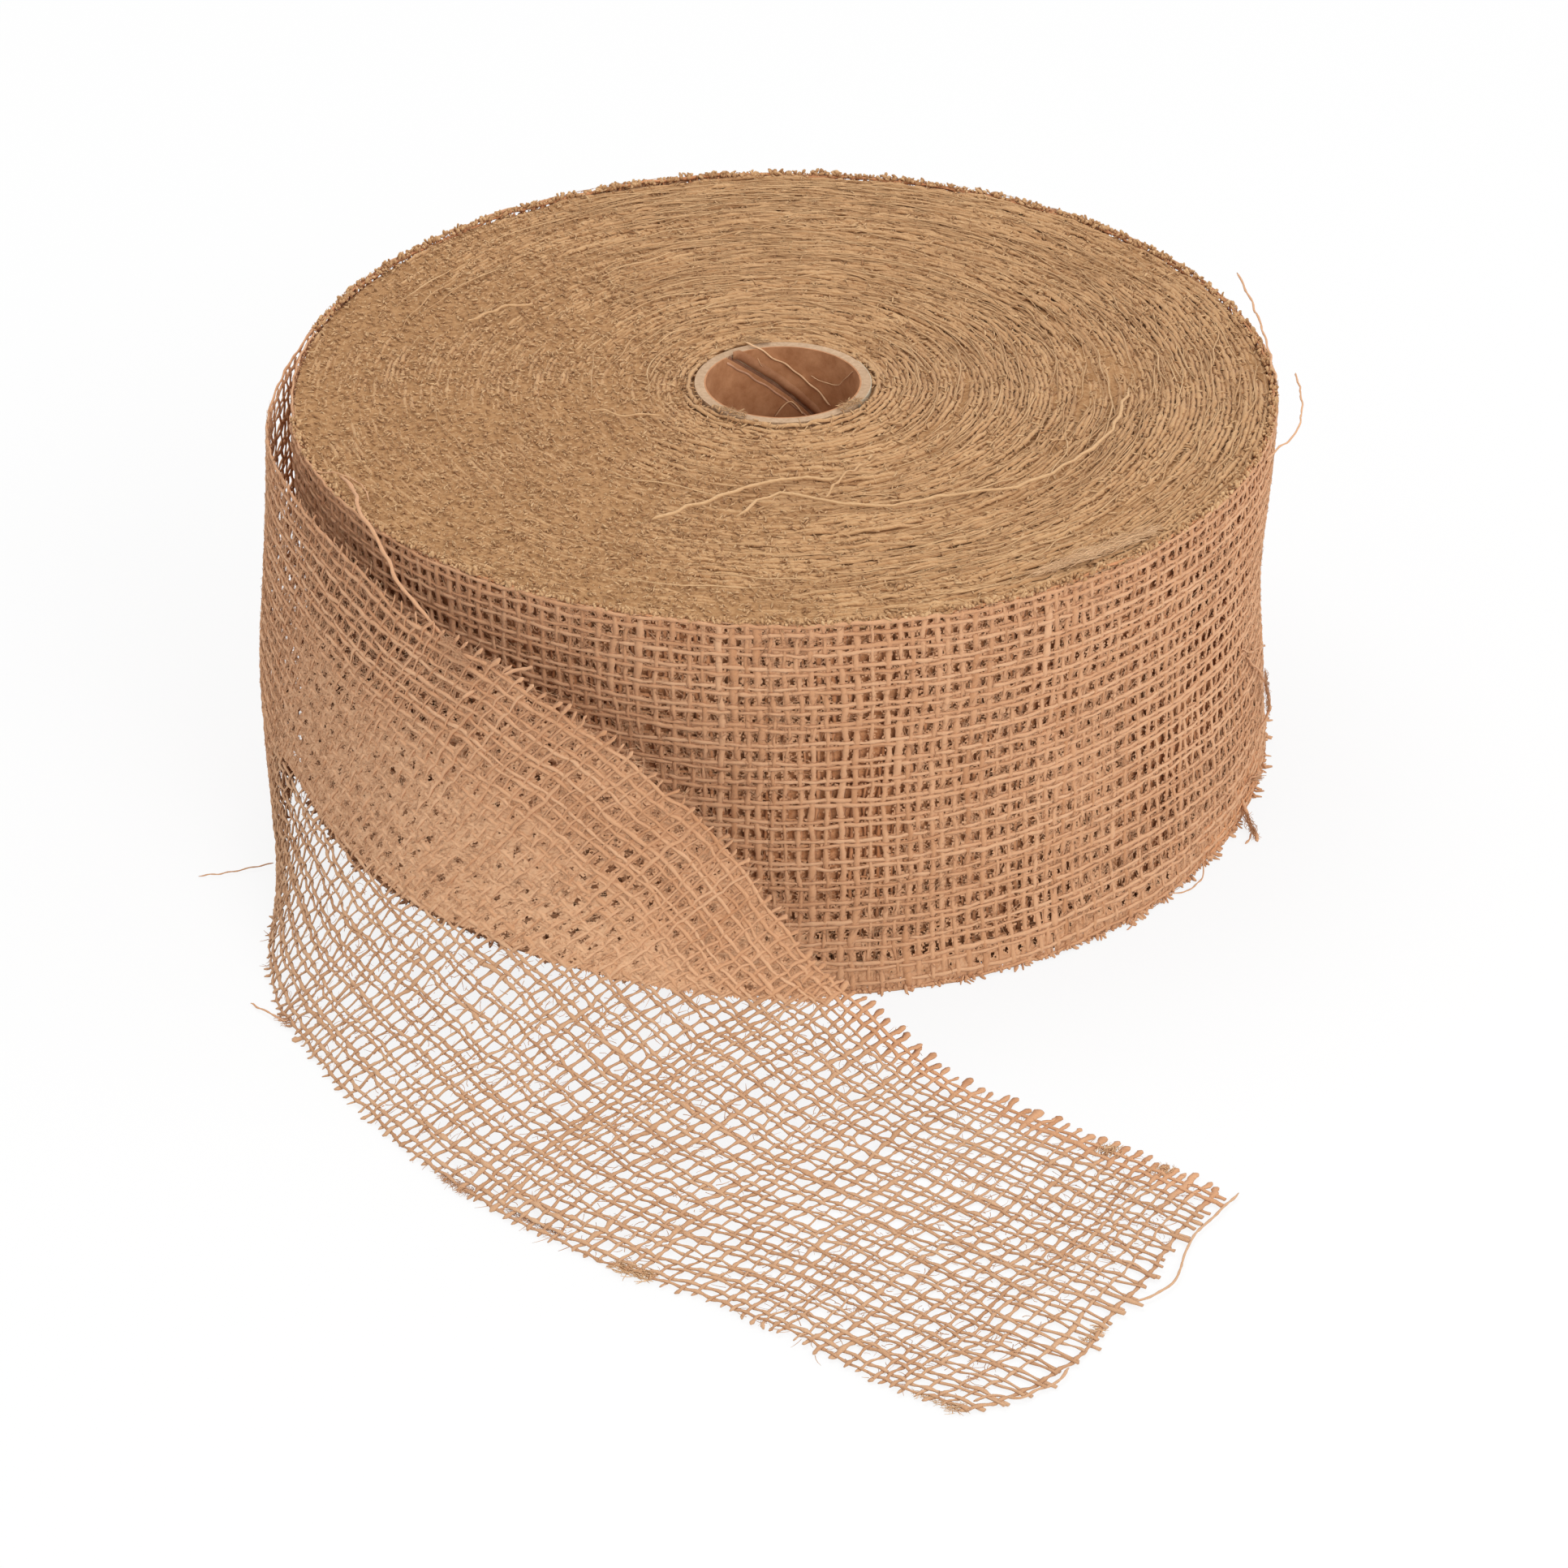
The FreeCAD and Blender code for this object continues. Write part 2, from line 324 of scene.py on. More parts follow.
class Strands:
    """Collects closed tubes, and makes one mesh of them."""

    def __init__(self):
        self.verts, self.faces, self.tubes, self.spans, self.tints = [], [], [], [], []
        self.caps, self.floor_lights = [], []
        self.count = 0

    def add(self, paths, outs, wide, high, tint, sides=6, start=0.0, floor_light=0.0):
        """paths and outs are yarns x rings x 3; wide and high are half sizes at each ring."""
        yarns, rings, _ = paths.shape
        shape = (yarns, rings)
        wide, high, tint, floor_light = (np.broadcast_to(x, shape) for x in (wide, high, tint, floor_light))
        self.verts.append(tube_points(paths, outs, wide, high, sides).reshape(-1, 3))
        self.tints.append(np.repeat(tint.reshape(-1), sides))
        self.floor_lights.append(np.repeat(floor_light.reshape(-1), sides))
        steps = np.linalg.norm(np.diff(paths, axis=1), axis=2)
        along = np.concatenate((np.zeros((yarns, 1)), np.cumsum(steps, axis=1)), axis=1) + start
        index = self.count + np.arange(yarns * rings * sides).reshape(yarns, rings, sides)
        which = np.arange(yarns) + len(self.spans)
        self.spans.extend(zip(along[:, 0], along[:, -1]))
        self.add_walls(index, along, which)
        self.add_cap(index[:, 0, ::-1], along[:, :1], which, -1)
        self.add_cap(index[:, -1], along[:, -1:], which, 1)
        self.count += index.size

    def keep(self, faces, places, tubes, cap):
        self.faces.append((faces, places))
        self.tubes.append(tubes)
        self.caps.append(cap)

    def add_walls(self, index, along, which):
        yarns, rings, sides = index.shape
        turned = np.roll(index, -1, axis=2)
        quads = np.stack((index[:, :-1], turned[:, :-1], turned[:, 1:], index[:, 1:]), axis=-1)
        around = np.arange(sides + 1) / sides
        shape = (yarns, rings - 1, sides)
        near, far = along[:, :-1, None], along[:, 1:, None]
        left, right = around[None, None, :-1], around[None, None, 1:]
        corners = [
            np.stack([np.broadcast_to(x, shape) for x in pair], axis=-1)
            for pair in ((left, near), (right, near), (right, far), (left, far))
        ]
        places = np.stack(corners, axis=-2).reshape(-1, 4, 2)
        self.keep(quads.reshape(-1, 4), places, np.repeat(which, (rings - 1) * sides), 0)

    def add_cap(self, ends, at, which, cap):
        places = np.empty((*ends.shape, 2))
        places[..., 0] = np.arange(ends.shape[1]) / ends.shape[1]
        places[..., 1] = at
        self.keep(ends, places, which, cap)

    def flat_layout(self):
        """Where each face lies on a flat square: the tubes end to end, in rows."""
        spans = np.array(self.spans)
        lengths = spans[:, 1] - spans[:, 0]
        pad, girth = 1.5, 2.4
        offsets = np.cumsum(lengths + pad) - lengths - pad / 2
        total = offsets[-1] + lengths[-1] + pad
        row_length = max(math.sqrt(total * girth), 5.0)
        rows = math.ceil(total / row_length) + 1
        places = []
        for (_, maps), tube, cap in zip(self.faces, self.tubes, self.caps):
            along = maps[..., 1] - spans[tube, 0][:, None]
            first = offsets[tube] + along[:, 0]
            row = np.floor(first / row_length)[:, None]
            x = first[:, None] - row * row_length + along - along[:, :1]
            y = maps[..., 0]
            if cap:
                x = x + 0.4 * cap + 0.25 * np.cos(TAU * y)
                y = 0.5 + 0.25 * np.sin(TAU * y)
            u = (x + 1.0) / (row_length + 5.0)
            places.append(np.stack((u, (row + 0.06 + 0.88 * y) / rows), axis=-1))
        return np.concatenate([p.reshape(-1, 2) for p in places])

    def build(self, name, material):
        return build_mesh(
            name,
            np.concatenate(self.verts),
            [faces for faces, _ in self.faces],
            {
                "yarn": np.concatenate([m.reshape(-1, 2) for _, m in self.faces]),
                "OFBake": self.flat_layout(),
            },
            {"tint": np.concatenate(self.tints), "floor_light": np.concatenate(self.floor_lights)},
            material,
        )


def in_scene(name, data):
    piece = bpy.data.objects.new(name, data)
    bpy.context.scene.collection.objects.link(piece)
    return piece


def belongs(piece, body):
    """The piece moves with the body."""
    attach(piece, body)
    return piece


def build_mesh(name, verts, faces, maps, values, material):
    """A mesh from points in mm, arrays of faces, maps for their corners and point values."""
    mesh = bpy.data.meshes.new(name)
    sizes = np.concatenate([np.full(len(f), f.shape[1]) for f in faces])
    corners = np.concatenate([f.reshape(-1) for f in faces])
    mesh.vertices.add(len(verts))
    mesh.vertices.foreach_set("co", (verts * MM).astype(np.float32).ravel())
    mesh.loops.add(len(corners))
    mesh.loops.foreach_set("vertex_index", corners.astype(np.int32))
    mesh.polygons.add(len(sizes))
    starts = np.concatenate(([0], np.cumsum(sizes)[:-1]))
    mesh.polygons.foreach_set("loop_start", starts.astype(np.int32))
    mesh.polygons.foreach_set("use_smooth", np.ones(len(sizes), bool))
    for map_name, places in maps.items():
        layer = mesh.uv_layers.new(name=map_name)
        layer.uv.foreach_set("vector", places.astype(np.float32).ravel())
    mesh.uv_layers.active = mesh.uv_layers["yarn"]
    for value_name, amounts in values.items():
        layer = mesh.attributes.new(value_name, "FLOAT", "POINT")
        layer.data.foreach_set("value", amounts.astype(np.float32))
    mesh.update(calc_edges=True)
    mesh.validate()
    mesh.materials.append(material)
    return in_scene(name, mesh)


# ---------------------------------------------------------------- materials
def feed(tree, socket, value):
    """Links a socket to another one, or sets it to a number or a colour."""
    if isinstance(value, bpy.types.NodeSocket):
        tree.links.new(value, socket)
    elif isinstance(value, tuple):
        socket.default_value = (*value, 1)
    else:
        socket.default_value = value


def node(tree, kind, **sockets):
    made = tree.nodes.new(kind)
    for name, value in sockets.items():
        feed(tree, made.inputs[name.replace("_", " ")], value)
    return made


def reckoned(tree, operation, *values, clamp=False):
    """The outcome of a sum or a product of sockets and numbers."""
    made = tree.nodes.new("ShaderNodeMath")
    made.operation = operation
    made.use_clamp = clamp
    for socket, value in zip(made.inputs, values):
        feed(tree, socket, value)
    return made.outputs[0]


def ramp(tree, factor, *stops):
    """A colour for each value of the factor; stops are pairs of a value and a colour."""
    made = node(tree, "ShaderNodeValToRGB", Fac=factor)
    elements = made.color_ramp.elements
    elements[0].position, elements[0].color = stops[0][0], (*stops[0][1], 1)
    elements[1].position, elements[1].color = stops[-1][0], (*stops[-1][1], 1)
    for position, colour in stops[1:-1]:
        elements.new(position).color = (*colour, 1)
    return made.outputs["Color"]


def mixed(tree, kind, factor, a, b):
    """Mixes colour a with colour b; each is a socket or a colour."""
    made = tree.nodes.new("ShaderNodeMix")
    made.data_type = "RGBA"
    made.blend_type = kind
    for socket, value in ((0, factor), (6, a), (7, b)):
        feed(tree, made.inputs[socket], value)
    return made.outputs[2]


def new_material(name, roughness, specular):
    material = bpy.data.materials.new(name)
    material.use_nodes = True
    shader = material.node_tree.nodes["Principled BSDF"]
    shader.inputs["Roughness"].default_value = roughness
    shader.inputs["Specular IOR Level"].default_value = specular
    return material, material.node_tree, shader


def solid_place(tree):
    return tree.nodes.new("ShaderNodeTexCoord").outputs["Object"]


def attribute(tree, name):
    made = tree.nodes.new("ShaderNodeAttribute")
    made.attribute_name = name
    return made.outputs["Fac"]


def noise(tree, vector, scale, detail=3.0, roughness=0.6):
    sizes = {"Vector": vector, "Scale": scale, "Detail": detail, "Roughness": roughness}
    return node(tree, "ShaderNodeTexNoise", **sizes).outputs["Fac"]


def dress(tree, shader, colour, height, strength, distance):
    """Gives a shader its colour, and its bump from the height."""
    made = node(tree, "ShaderNodeBump", Height=height, Strength=strength, Distance=distance)
    feed(tree, shader.inputs["Base Color"], colour)
    feed(tree, shader.inputs["Normal"], made.outputs["Normal"])


# Open cloth that lies over the white floor is multiplied by this paler tint: painted light from the
# floor.
FLOOR_LIGHT_TINT = (0.90, 0.96, 1.0)
SHADES_AT = (0.34, 0.5, 0.66)
TWIST_PER_MM = 0.22


def yarn_material(name, dark, middle, light, streak=0.35, patch=0.2):
    """Spun jute: each yarn has its own shade, with fibre streaks that twist round it."""
    material, tree, shader = new_material(name, 0.9, 0.08)
    shader.inputs["Sheen Weight"].default_value = 0.08
    shader.inputs["Sheen Roughness"].default_value = 0.6
    tint = attribute(tree, "tint")
    place = tree.nodes.new("ShaderNodeUVMap")
    place.uv_map = "yarn"
    split = node(tree, "ShaderNodeSeparateXYZ", Vector=place.outputs["UV"])
    around, along = split.outputs["X"], split.outputs["Y"]
    twisted = reckoned(tree, "MULTIPLY_ADD", along, TWIST_PER_MM, around)
    slow = reckoned(tree, "MULTIPLY", along, 0.12)
    joined = node(tree, "ShaderNodeCombineXYZ", X=twisted, Y=slow, Z=tint)
    fibres = noise(tree, joined.outputs[0], 6.0, 4.0, 0.7)
    patches = noise(tree, solid_place(tree), 90.0)
    shade = 0.0
    for socket, share in ((tint, 0.45), (fibres, streak), (patches, patch)):
        shade = reckoned(tree, "MULTIPLY_ADD", socket, share, shade)
    colour = ramp(tree, shade, *zip(SHADES_AT, (dark, middle, light)))
    # The floor_light value paints the white floor's light onto the open cloth.
    colour = mixed(tree, "MULTIPLY", attribute(tree, "floor_light"), colour, FLOOR_LIGHT_TINT)
    dress(tree, shader, colour, fibres, 0.6, 0.00025)
    return material


weave_finish = yarn_material("jute_yarn", (0.50, 0.245, 0.12), (0.61, 0.33, 0.178), (0.68, 0.40, 0.23))
# The jute under the outer turn is darker and redder: painted shade.
under_shaded_jute = yarn_material("jute_under_shaded", (0.46, 0.19, 0.078), (0.59, 0.27, 0.125), (0.70, 0.35, 0.17))
# The turns' edges on the roll's faces are a yellower copy of the jute, coloured for the light that falls
# on the top: painted light.
top_lit_jute = yarn_material(
    "jute_edge_top_lit", (0.385, 0.195, 0.085), (0.55, 0.325, 0.16), (0.66, 0.425, 0.225), 0.45, 0.06
)
# Loose fluff is a paler jute, made paler still to undo the shade its own fibres cast: partly its own
# colour, partly painted light.
pale_lit_fluff = yarn_material("jute_fluff_pale_lit", (0.58, 0.33, 0.16), (0.70, 0.43, 0.23), (0.80, 0.53, 0.31))


def shaded_depth_material(name, dark, light):
    material, tree, shader = new_material(name, 1.0, 0.05)
    grain = noise(tree, solid_place(tree), 700.0)
    dress(tree, shader, ramp(tree, grain, (0.35, dark), (0.6, light)), grain, 0.8, 0.0008)
    return material


def paper_material(name, dark, light, scale):
    material, tree, shader = new_material(name, 0.75, 0.3)
    place = solid_place(tree)
    fibres = noise(tree, place, scale, 6.0, 0.65)
    blotches = noise(tree, place, scale / 12, 2.0)
    colour = ramp(tree, fibres, (0.3, dark), (0.7, light))
    shade = ramp(tree, blotches, (0.3, (0.86, 0.84, 0.82)), (0.7, (1.0, 1.0, 1.0)))
    dress(tree, shader, mixed(tree, "MULTIPLY", 1.0, colour, shade), fibres, 0.35, 0.0003)
    return material


def stage_material():
    """The floor: mostly plain white to the camera, with a faint trace of the shadows."""
    material = bpy.data.materials.new("floor_white")
    material.use_nodes = True
    tree = material.node_tree
    tree.nodes.clear()
    diffuse = node(tree, "ShaderNodeBsdfDiffuse", Color=(0.8, 0.8, 0.8))
    glow = node(tree, "ShaderNodeEmission", Color=(1.0, 1.0, 1.0), Strength=1.0)
    rays = tree.nodes.new("ShaderNodeLightPath").outputs
    seen = reckoned(tree, "ADD", rays["Is Camera Ray"], rays["Is Transmission Ray"], clamp=True)
    seen = reckoned(tree, "ADD", seen, rays["Is Glossy Ray"], clamp=True)
    share = reckoned(tree, "MULTIPLY", seen, 0.85)
    mix = tree.nodes.new("ShaderNodeMixShader")
    for socket, value in zip(mix.inputs, (share, diffuse.outputs[0], glow.outputs[0])):
        feed(tree, socket, value)
    node(tree, "ShaderNodeOutputMaterial", Surface=mix.outputs[0])
    return material


# ---------------------------------------------------------------- the cloth
# The tail hangs close before the roll where it lies above this line, and is matted there.
BEFORE_ROLL_S = (45, 65, 76, 84, 100, 123, 145, 167, 186, 203, 218, 232, 246, 262)
BEFORE_ROLL_V = (-10, 5, 24, 37, 38.5, 38.5, 42, 45, 50, 55, 63, 72, 82, 94)
BEFORE_ROLL_BLUR = 6


def before_roll(s, v):
    line = np.interp(s, BEFORE_ROLL_S, BEFORE_ROLL_V)
    return np.clip((v - line) / BEFORE_ROLL_BLUR + 0.5, 0, 1)


def matting(s, v):
    """How deep the yarns lie in matted fibre, from 0 to 1: least near the upper edge."""
    return before_roll(s, v) * (1 - np.clip((v - 68) / 14, 0, 1)) * np.interp(s, (70, 95), (0, 1))


def weft_places(low, high):
    """Uneven places of the wefts along a length of ribbon."""
    count = int((high - low) / WEFT_PITCH)
    steps = WEFT_PITCH * (1 + 0.11 * rng.standard_normal(count))
    steps += 0.35 * wander(np.arange(count), 9.0, 1)[0]
    steps = np.maximum(steps, 2.2)
    return low + 0.8 + np.cumsum(steps) * (high - low - 2.0) / steps.sum()


def warp_places():
    pair = WIDTH / WARP_PAIRS
    middles = (np.arange(WARP_PAIRS) + 0.5) * pair + rng.normal(0, 0.12, WARP_PAIRS)
    gaps = PAIR_GAP + rng.normal(0, 0.12, WARP_PAIRS)
    places = np.sort(np.concatenate((middles - gaps / 2, middles + gaps / 2)))
    places[0], places[-1] = 1.0, WIDTH - 1.0
    return places


def freed(s):
    """How far the cloth has opened up, from 0 on the roll to 1 on the tail."""
    return np.clip((s - OPENS_FROM) / OPENS_OVER, 0, 1)


def near_raw_end(s):
    return np.clip((s - TAIL_LENGTH + RAW_END_REACH) / RAW_END_REACH, 0, 1)


def warp_lines(s, sway):
    """Where each warp runs. Past the last weft each one stops at a place of its own."""
    warps = len(WARP_AT)
    near_end, free = near_raw_end(s), freed(s)
    raw = np.interp(WARP_AT, RAW_END_V, RAW_END_S) + rng.normal(0.4, 0.9, warps)
    v = WARP_AT[:, None] + 0.4 * sway(s[None], WARP_AT[:, None])
    v = v + (0.15 + 0.11 * free) * wander(s, 28.0, warps)
    v = v + (0.07 + 0.03 * free) * wander(s, 7.0, warps)
    v = v + near_end**3 * rng.normal(0, 0.5, (warps, 1))
    return s[None] + raw[:, None] * near_end, v


def weft_ends(wefts, free):
    """Where each weft ends below and above; high on the tail's end they stand out furthest."""
    low_fringe = ROLL_FRINGE + (TAIL_LOW_FRINGE - ROLL_FRINGE) * free
    high_fringe = ROLL_FRINGE + (TAIL_FRINGE - ROLL_FRINGE) * free
    ends_low = 0.3 - low_fringe * rng.uniform(0.1, 1.0, len(wefts))
    ends_high = WIDTH - 0.3 + high_fringe * rng.uniform(0.2, 1.0, len(wefts))
    ends_high = ends_high + np.interp(wefts, (262, 275), (0, 1.9))
    ends_high = ends_high - rng.uniform(0.2, 1.0, len(wefts)) * (1 - free)
    return ends_low[:, None], ends_high[:, None]


def weft_lines(wefts, skew, low, high, rings):
    """Where each weft runs, and how far each of its rings is past the last warp."""
    count, at = len(wefts), wefts[:, None]
    free = freed(at)
    ends_low, ends_high = weft_ends(wefts, free[:, 0])
    v = ends_low + (ends_high - ends_low) * np.linspace(0, 1, rings)
    bow = (0.7 + 0.4 * free) * skew(at, v)
    bow = bow + (0.22 + 0.10 * free) * wander(v, 30.0, count)
    bow = bow + (0.09 + 0.02 * free) * wander(v, 8.0, count)
    s = at + bow
    s = s + near_raw_end(at) * np.interp(v, RAW_END_V, RAW_END_S)
    past = np.maximum(v - (WIDTH - 1.0), 0) + np.maximum(1.0 - v, 0)
    s = s + rng.normal(0, 0.10, (count, 1)) * np.minimum(past, 2.4) ** 2
    limit = high + 0.5 + END_ROOM * (high == TAIL_LENGTH)
    return np.clip(s, low - 0.5, limit), v, past


PAST_LAST_WARP = 2.5


def crossings(s, wefts, warp_s, warp_v, weft_s, weft_v):
    """The number of the weft at each ring of a warp, and of the warp at each ring of a weft."""
    warps, numbers = len(WARP_AT), np.arange(len(wefts))
    at_weft, at_warp = np.empty_like(warp_v), np.empty_like(weft_v)
    for j in range(warps):
        at = np.array([np.interp(WARP_AT[j], weft_v[k], weft_s[k]) for k in numbers])
        at = np.maximum.accumulate(at + numbers * 1e-6)
        at_weft[j] = np.interp(warp_s[j], at, numbers) + j
    for k in numbers:
        at = [np.interp(wefts[k], s, warp_v[j]) for j in range(warps)]
        at = [at[0] - PAST_LAST_WARP, *at, at[-1] + PAST_LAST_WARP]
        at_warp[k] = np.interp(weft_v[k], at, np.arange(-1, warps + 1))
    return at_weft, at_warp


def knots(at, opened):
    """A yarn is thickest where it lies over or under another one, most in open cloth."""
    return 1 + (0.06 + 0.16 * opened) * np.cos(TAU * at)


def cloth(place, low, high, step, weft_rings):
    """Warps and wefts of a stretch of ribbon, as paths, outward ways and half sizes."""
    wefts = weft_places(low, high)
    warps, count = len(WARP_AT), len(wefts)
    skew, sway = make_field(70.0), make_field(90.0)
    s = np.linspace(low, high, int((high - low) / step) + 1)
    warp_s, warp_v = warp_lines(s, sway)
    weft_s, weft_v, past = weft_lines(wefts, skew, low, high, weft_rings)
    at_weft, at_warp = crossings(s, wefts, warp_s, warp_v, weft_s, weft_v)

    warp_mat, weft_mat = matting(warp_s, warp_v), matting(weft_s, weft_v)
    warp_open = freed(s) * (1 - before_roll(warp_s, warp_v))
    warp_h = CRIMP * (0.55 + 0.45 * warp_open) * np.cos(math.pi * at_weft)
    warp_h = warp_h + WARP_LIFT * (1 - warp_open) - 0.26 * warp_mat
    weft_free = freed(wefts[:, None])
    weft_open = weft_free * (1 - before_roll(weft_s, weft_v))
    over_first = at_warp + np.arange(count)[:, None]
    weft_h = -CRIMP * np.cos(math.pi * over_first) * (0.7 + 0.3 * weft_open)
    weft_h = weft_h * np.clip(1 - past / 5, 0.3, 1) - 0.10 * weft_mat
    curl = rng.uniform(-0.22, 0.10, (count, 1)) * (1 - 0.6 * weft_free)
    weft_h = weft_h + curl * np.minimum(past, 2.8) ** 1.6
    warp_thin, weft_thin = 1 - 0.09 * warp_open, 1 - 0.32 * weft_open
    return {
        "s": s,
        "wefts": wefts,
        "past": past,
        "warp": place(warp_s, warp_v, warp_h),
        "weft": place(weft_s, weft_v, weft_h),
        "warp_at": (warp_s, warp_v),
        "weft_at": (weft_v, weft_s),
        "warp_open": warp_open,
        "weft_open": weft_open,
        "warp_fat": fatness(s, warps, 0.10, 7) * warp_thin * knots(at_weft, warp_open),
        "weft_fat": fatness(weft_v, count, 0.17, 18) * weft_thin * knots(at_warp, weft_open),
        # Where the cloth is closed the warps on top are painted lighter and the wefts darker: painted
        # light and shade. Matted cloth before the roll is painted lighter: painted light.
        "warp_tint": tints(s, warps) + 0.07 * (1 - warp_open) + 0.1 * warp_mat,
        "weft_tint": tints(weft_v, count) - 0.05 * (1 - weft_open) + 0.14 * weft_mat,
    }


def fatness(x, rows, spread, slub_share):
    """How thick each yarn is along its length, with a few slubs."""
    base = 1 + spread * rng.standard_normal((rows, 1))
    base = base + 0.08 * wander(x, 22.0, rows) + 0.09 * wander(x, 5.0, rows)
    base = base + 0.10 * wander(x, 2.4, rows)
    slubs = np.maximum(wander(x, 60.0, rows) - 1.25, 0)
    return np.clip(base + slubs * slub_share * 0.06, 0.62, 1.75)


def tints(x, rows):
    """The shade of each yarn along its length, about 0.5 in the middle."""
    base = 0.5 + 0.10 * rng.standard_normal((rows, 1))
    return np.clip(base + 0.07 * wander(x, 35.0, rows), 0.1, 0.95)


def nearest_line(places, lines):
    """How far each place is from the nearest line, for each column of lines."""
    far = np.empty((lines.shape[1], len(places)))
    for column in range(lines.shape[1]):
        line = np.sort(lines[:, column])
        after = np.clip(np.searchsorted(line, places), 1, len(line) - 1)
        far[column] = np.minimum(np.abs(places - line[after - 1]), np.abs(line[after] - places))
    return far


def hole_depths(made, s, v):
    """How far inside a hole of the cloth each place of a grid is, in mm from the nearest yarn."""
    warps = np.array([np.interp(s, at, line) for at, line in zip(*made["warp_at"])])
    wefts = np.array([np.interp(v, at, line) for at, line in zip(*made["weft_at"])])
    return np.minimum(nearest_line(v, warps) - WARP_HALF, nearest_line(s, wefts).T - WEFT_HALF)


def felt_piece(name, made, low, high, filled, cell=0.4):
    """Matted fibre that narrows the holes of the cloth; filled is how far in it reaches, in mm."""
    s = np.arange(low, high, cell)
    v = np.arange(0.5, WIDTH - 0.4, cell)
    inside = hole_depths(made, s, v)
    grid_s, grid_v = np.meshgrid(s, v, indexing="ij")
    grid_s = grid_s + rng.uniform(-0.3, 0.3, grid_s.shape) * cell
    grid_v = grid_v + rng.uniform(-0.3, 0.3, grid_v.shape) * cell
    deep = matting(grid_s, grid_v)
    rise = -0.04 + 0.16 * deep + (0.10 + 0.05 * deep) * rng.standard_normal(grid_s.shape)
    middle = (inside[1:, 1:] + inside[:-1, :-1] + inside[1:, :-1] + inside[:-1, 1:]) / 4
    limit = filled(grid_s[:-1, :-1], grid_v[:-1, :-1])
    limit = limit + 0.22 * rng.standard_normal(middle.shape)
    kept = (middle > -0.3 - 0.4 * deep[:-1, :-1]) & (middle < limit)
    index = np.arange(grid_s.size).reshape(grid_s.shape)
    faces = np.stack(
        (index[:-1, :-1][kept], index[1:, :-1][kept], index[1:, 1:][kept], index[:-1, 1:][kept]),
        axis=-1,
    )
    used, faces = np.unique(faces, return_inverse=True)
    faces = faces.reshape(-1, 4)
    s, v, rise, deep = (x.ravel()[used] for x in (grid_s, grid_v, rise, deep))
    points, _ = on_strip(s, v, rise)
    points[:, 2] = np.maximum(points[:, 2], LOWEST_POINT)
    corner_s, corner_v = s[faces.ravel()], v[faces.ravel()]
    # Matted felt before the roll is painted lighter, more further along the tail: painted light on the
    # tail there.
    painted_light = deep * np.interp(s, (90.0, 190.0), (0.02, 0.30))
    tint = np.clip(0.50 + painted_light + 0.20 * rng.standard_normal(len(used)), 0, 1)
    flat_s, flat_v = (corner_s - low + 1) / (high - low + 2), corner_v / WIDTH
    maps = {
        "yarn": np.stack((0.4 * corner_v, 3.4 * corner_s), axis=-1),
        "OFBake": np.stack((flat_s, flat_v), axis=-1),
    }
    values = {"tint": tint, "floor_light": np.zeros(len(used))}
    return build_mesh(name, points, [faces], maps, values, weave_finish)


# A piece of cloth keeps the warps' rings this far past its cuts; its wefts' ends are this thin.
CUT_REACH = 0.45
END_TAPER = 0.35


def cloth_piece(name, made, low, high, material, sides=6):
    """One piece of the cloth, from low to high along the ribbon."""
    strands = Strands()
    ring = (made["s"] >= low - CUT_REACH) & (made["s"] <= high + CUT_REACH)
    paths, outs = (x[:, ring] for x in made["warp"])
    fat, tint, opened = (made[f"warp_{x}"][:, ring] for x in ("fat", "tint", "open"))
    # The open cloth over the floor takes the floor's painted light.
    strands.add(paths, outs, WARP_HALF * fat, YARN_HALF_HEIGHT * np.sqrt(fat), tint, sides, low, opened)
    row = (made["wefts"] >= low) & (made["wefts"] < high)
    paths, outs = (x[row] for x in made["weft"])
    fat, tint, opened = (made[f"weft_{x}"][row] for x in ("fat", "tint", "open"))
    fat = fat * (1 + 0.10 * np.clip(made["past"][row], 0, 3))
    ends = np.ones(paths.shape[1])
    ends[:1], ends[-1:] = END_TAPER, END_TAPER
    high_half = YARN_HALF_HEIGHT * np.sqrt(fat) * ends * (0.72 + 0.28 * opened)
    strands.add(paths, outs, WEFT_HALF * fat * ends, high_half, tint, sides, floor_light=opened)
    return strands.build(name, material)


WARP_AT = warp_places()
# How far the raw end reaches past the CAD model's end line, from the lower edge to the upper.
RAW_END_V = (0.0, 6.0, 15.0, 35.0, 55.0, 68.0, 82.0, 100.0)
RAW_END_S = (0.5, 5.0, 8.0, 8.0, 5.5, 3.2, 0.5, -1.0)
ribbon = cloth(on_strip, -TURN_LENGTH, TAIL_LENGTH, step=0.8, weft_rings=150)
under = cloth(on_roll(UNDER_R), -TAU * UNDER_R, 0.0, step=1.25, weft_rings=95)


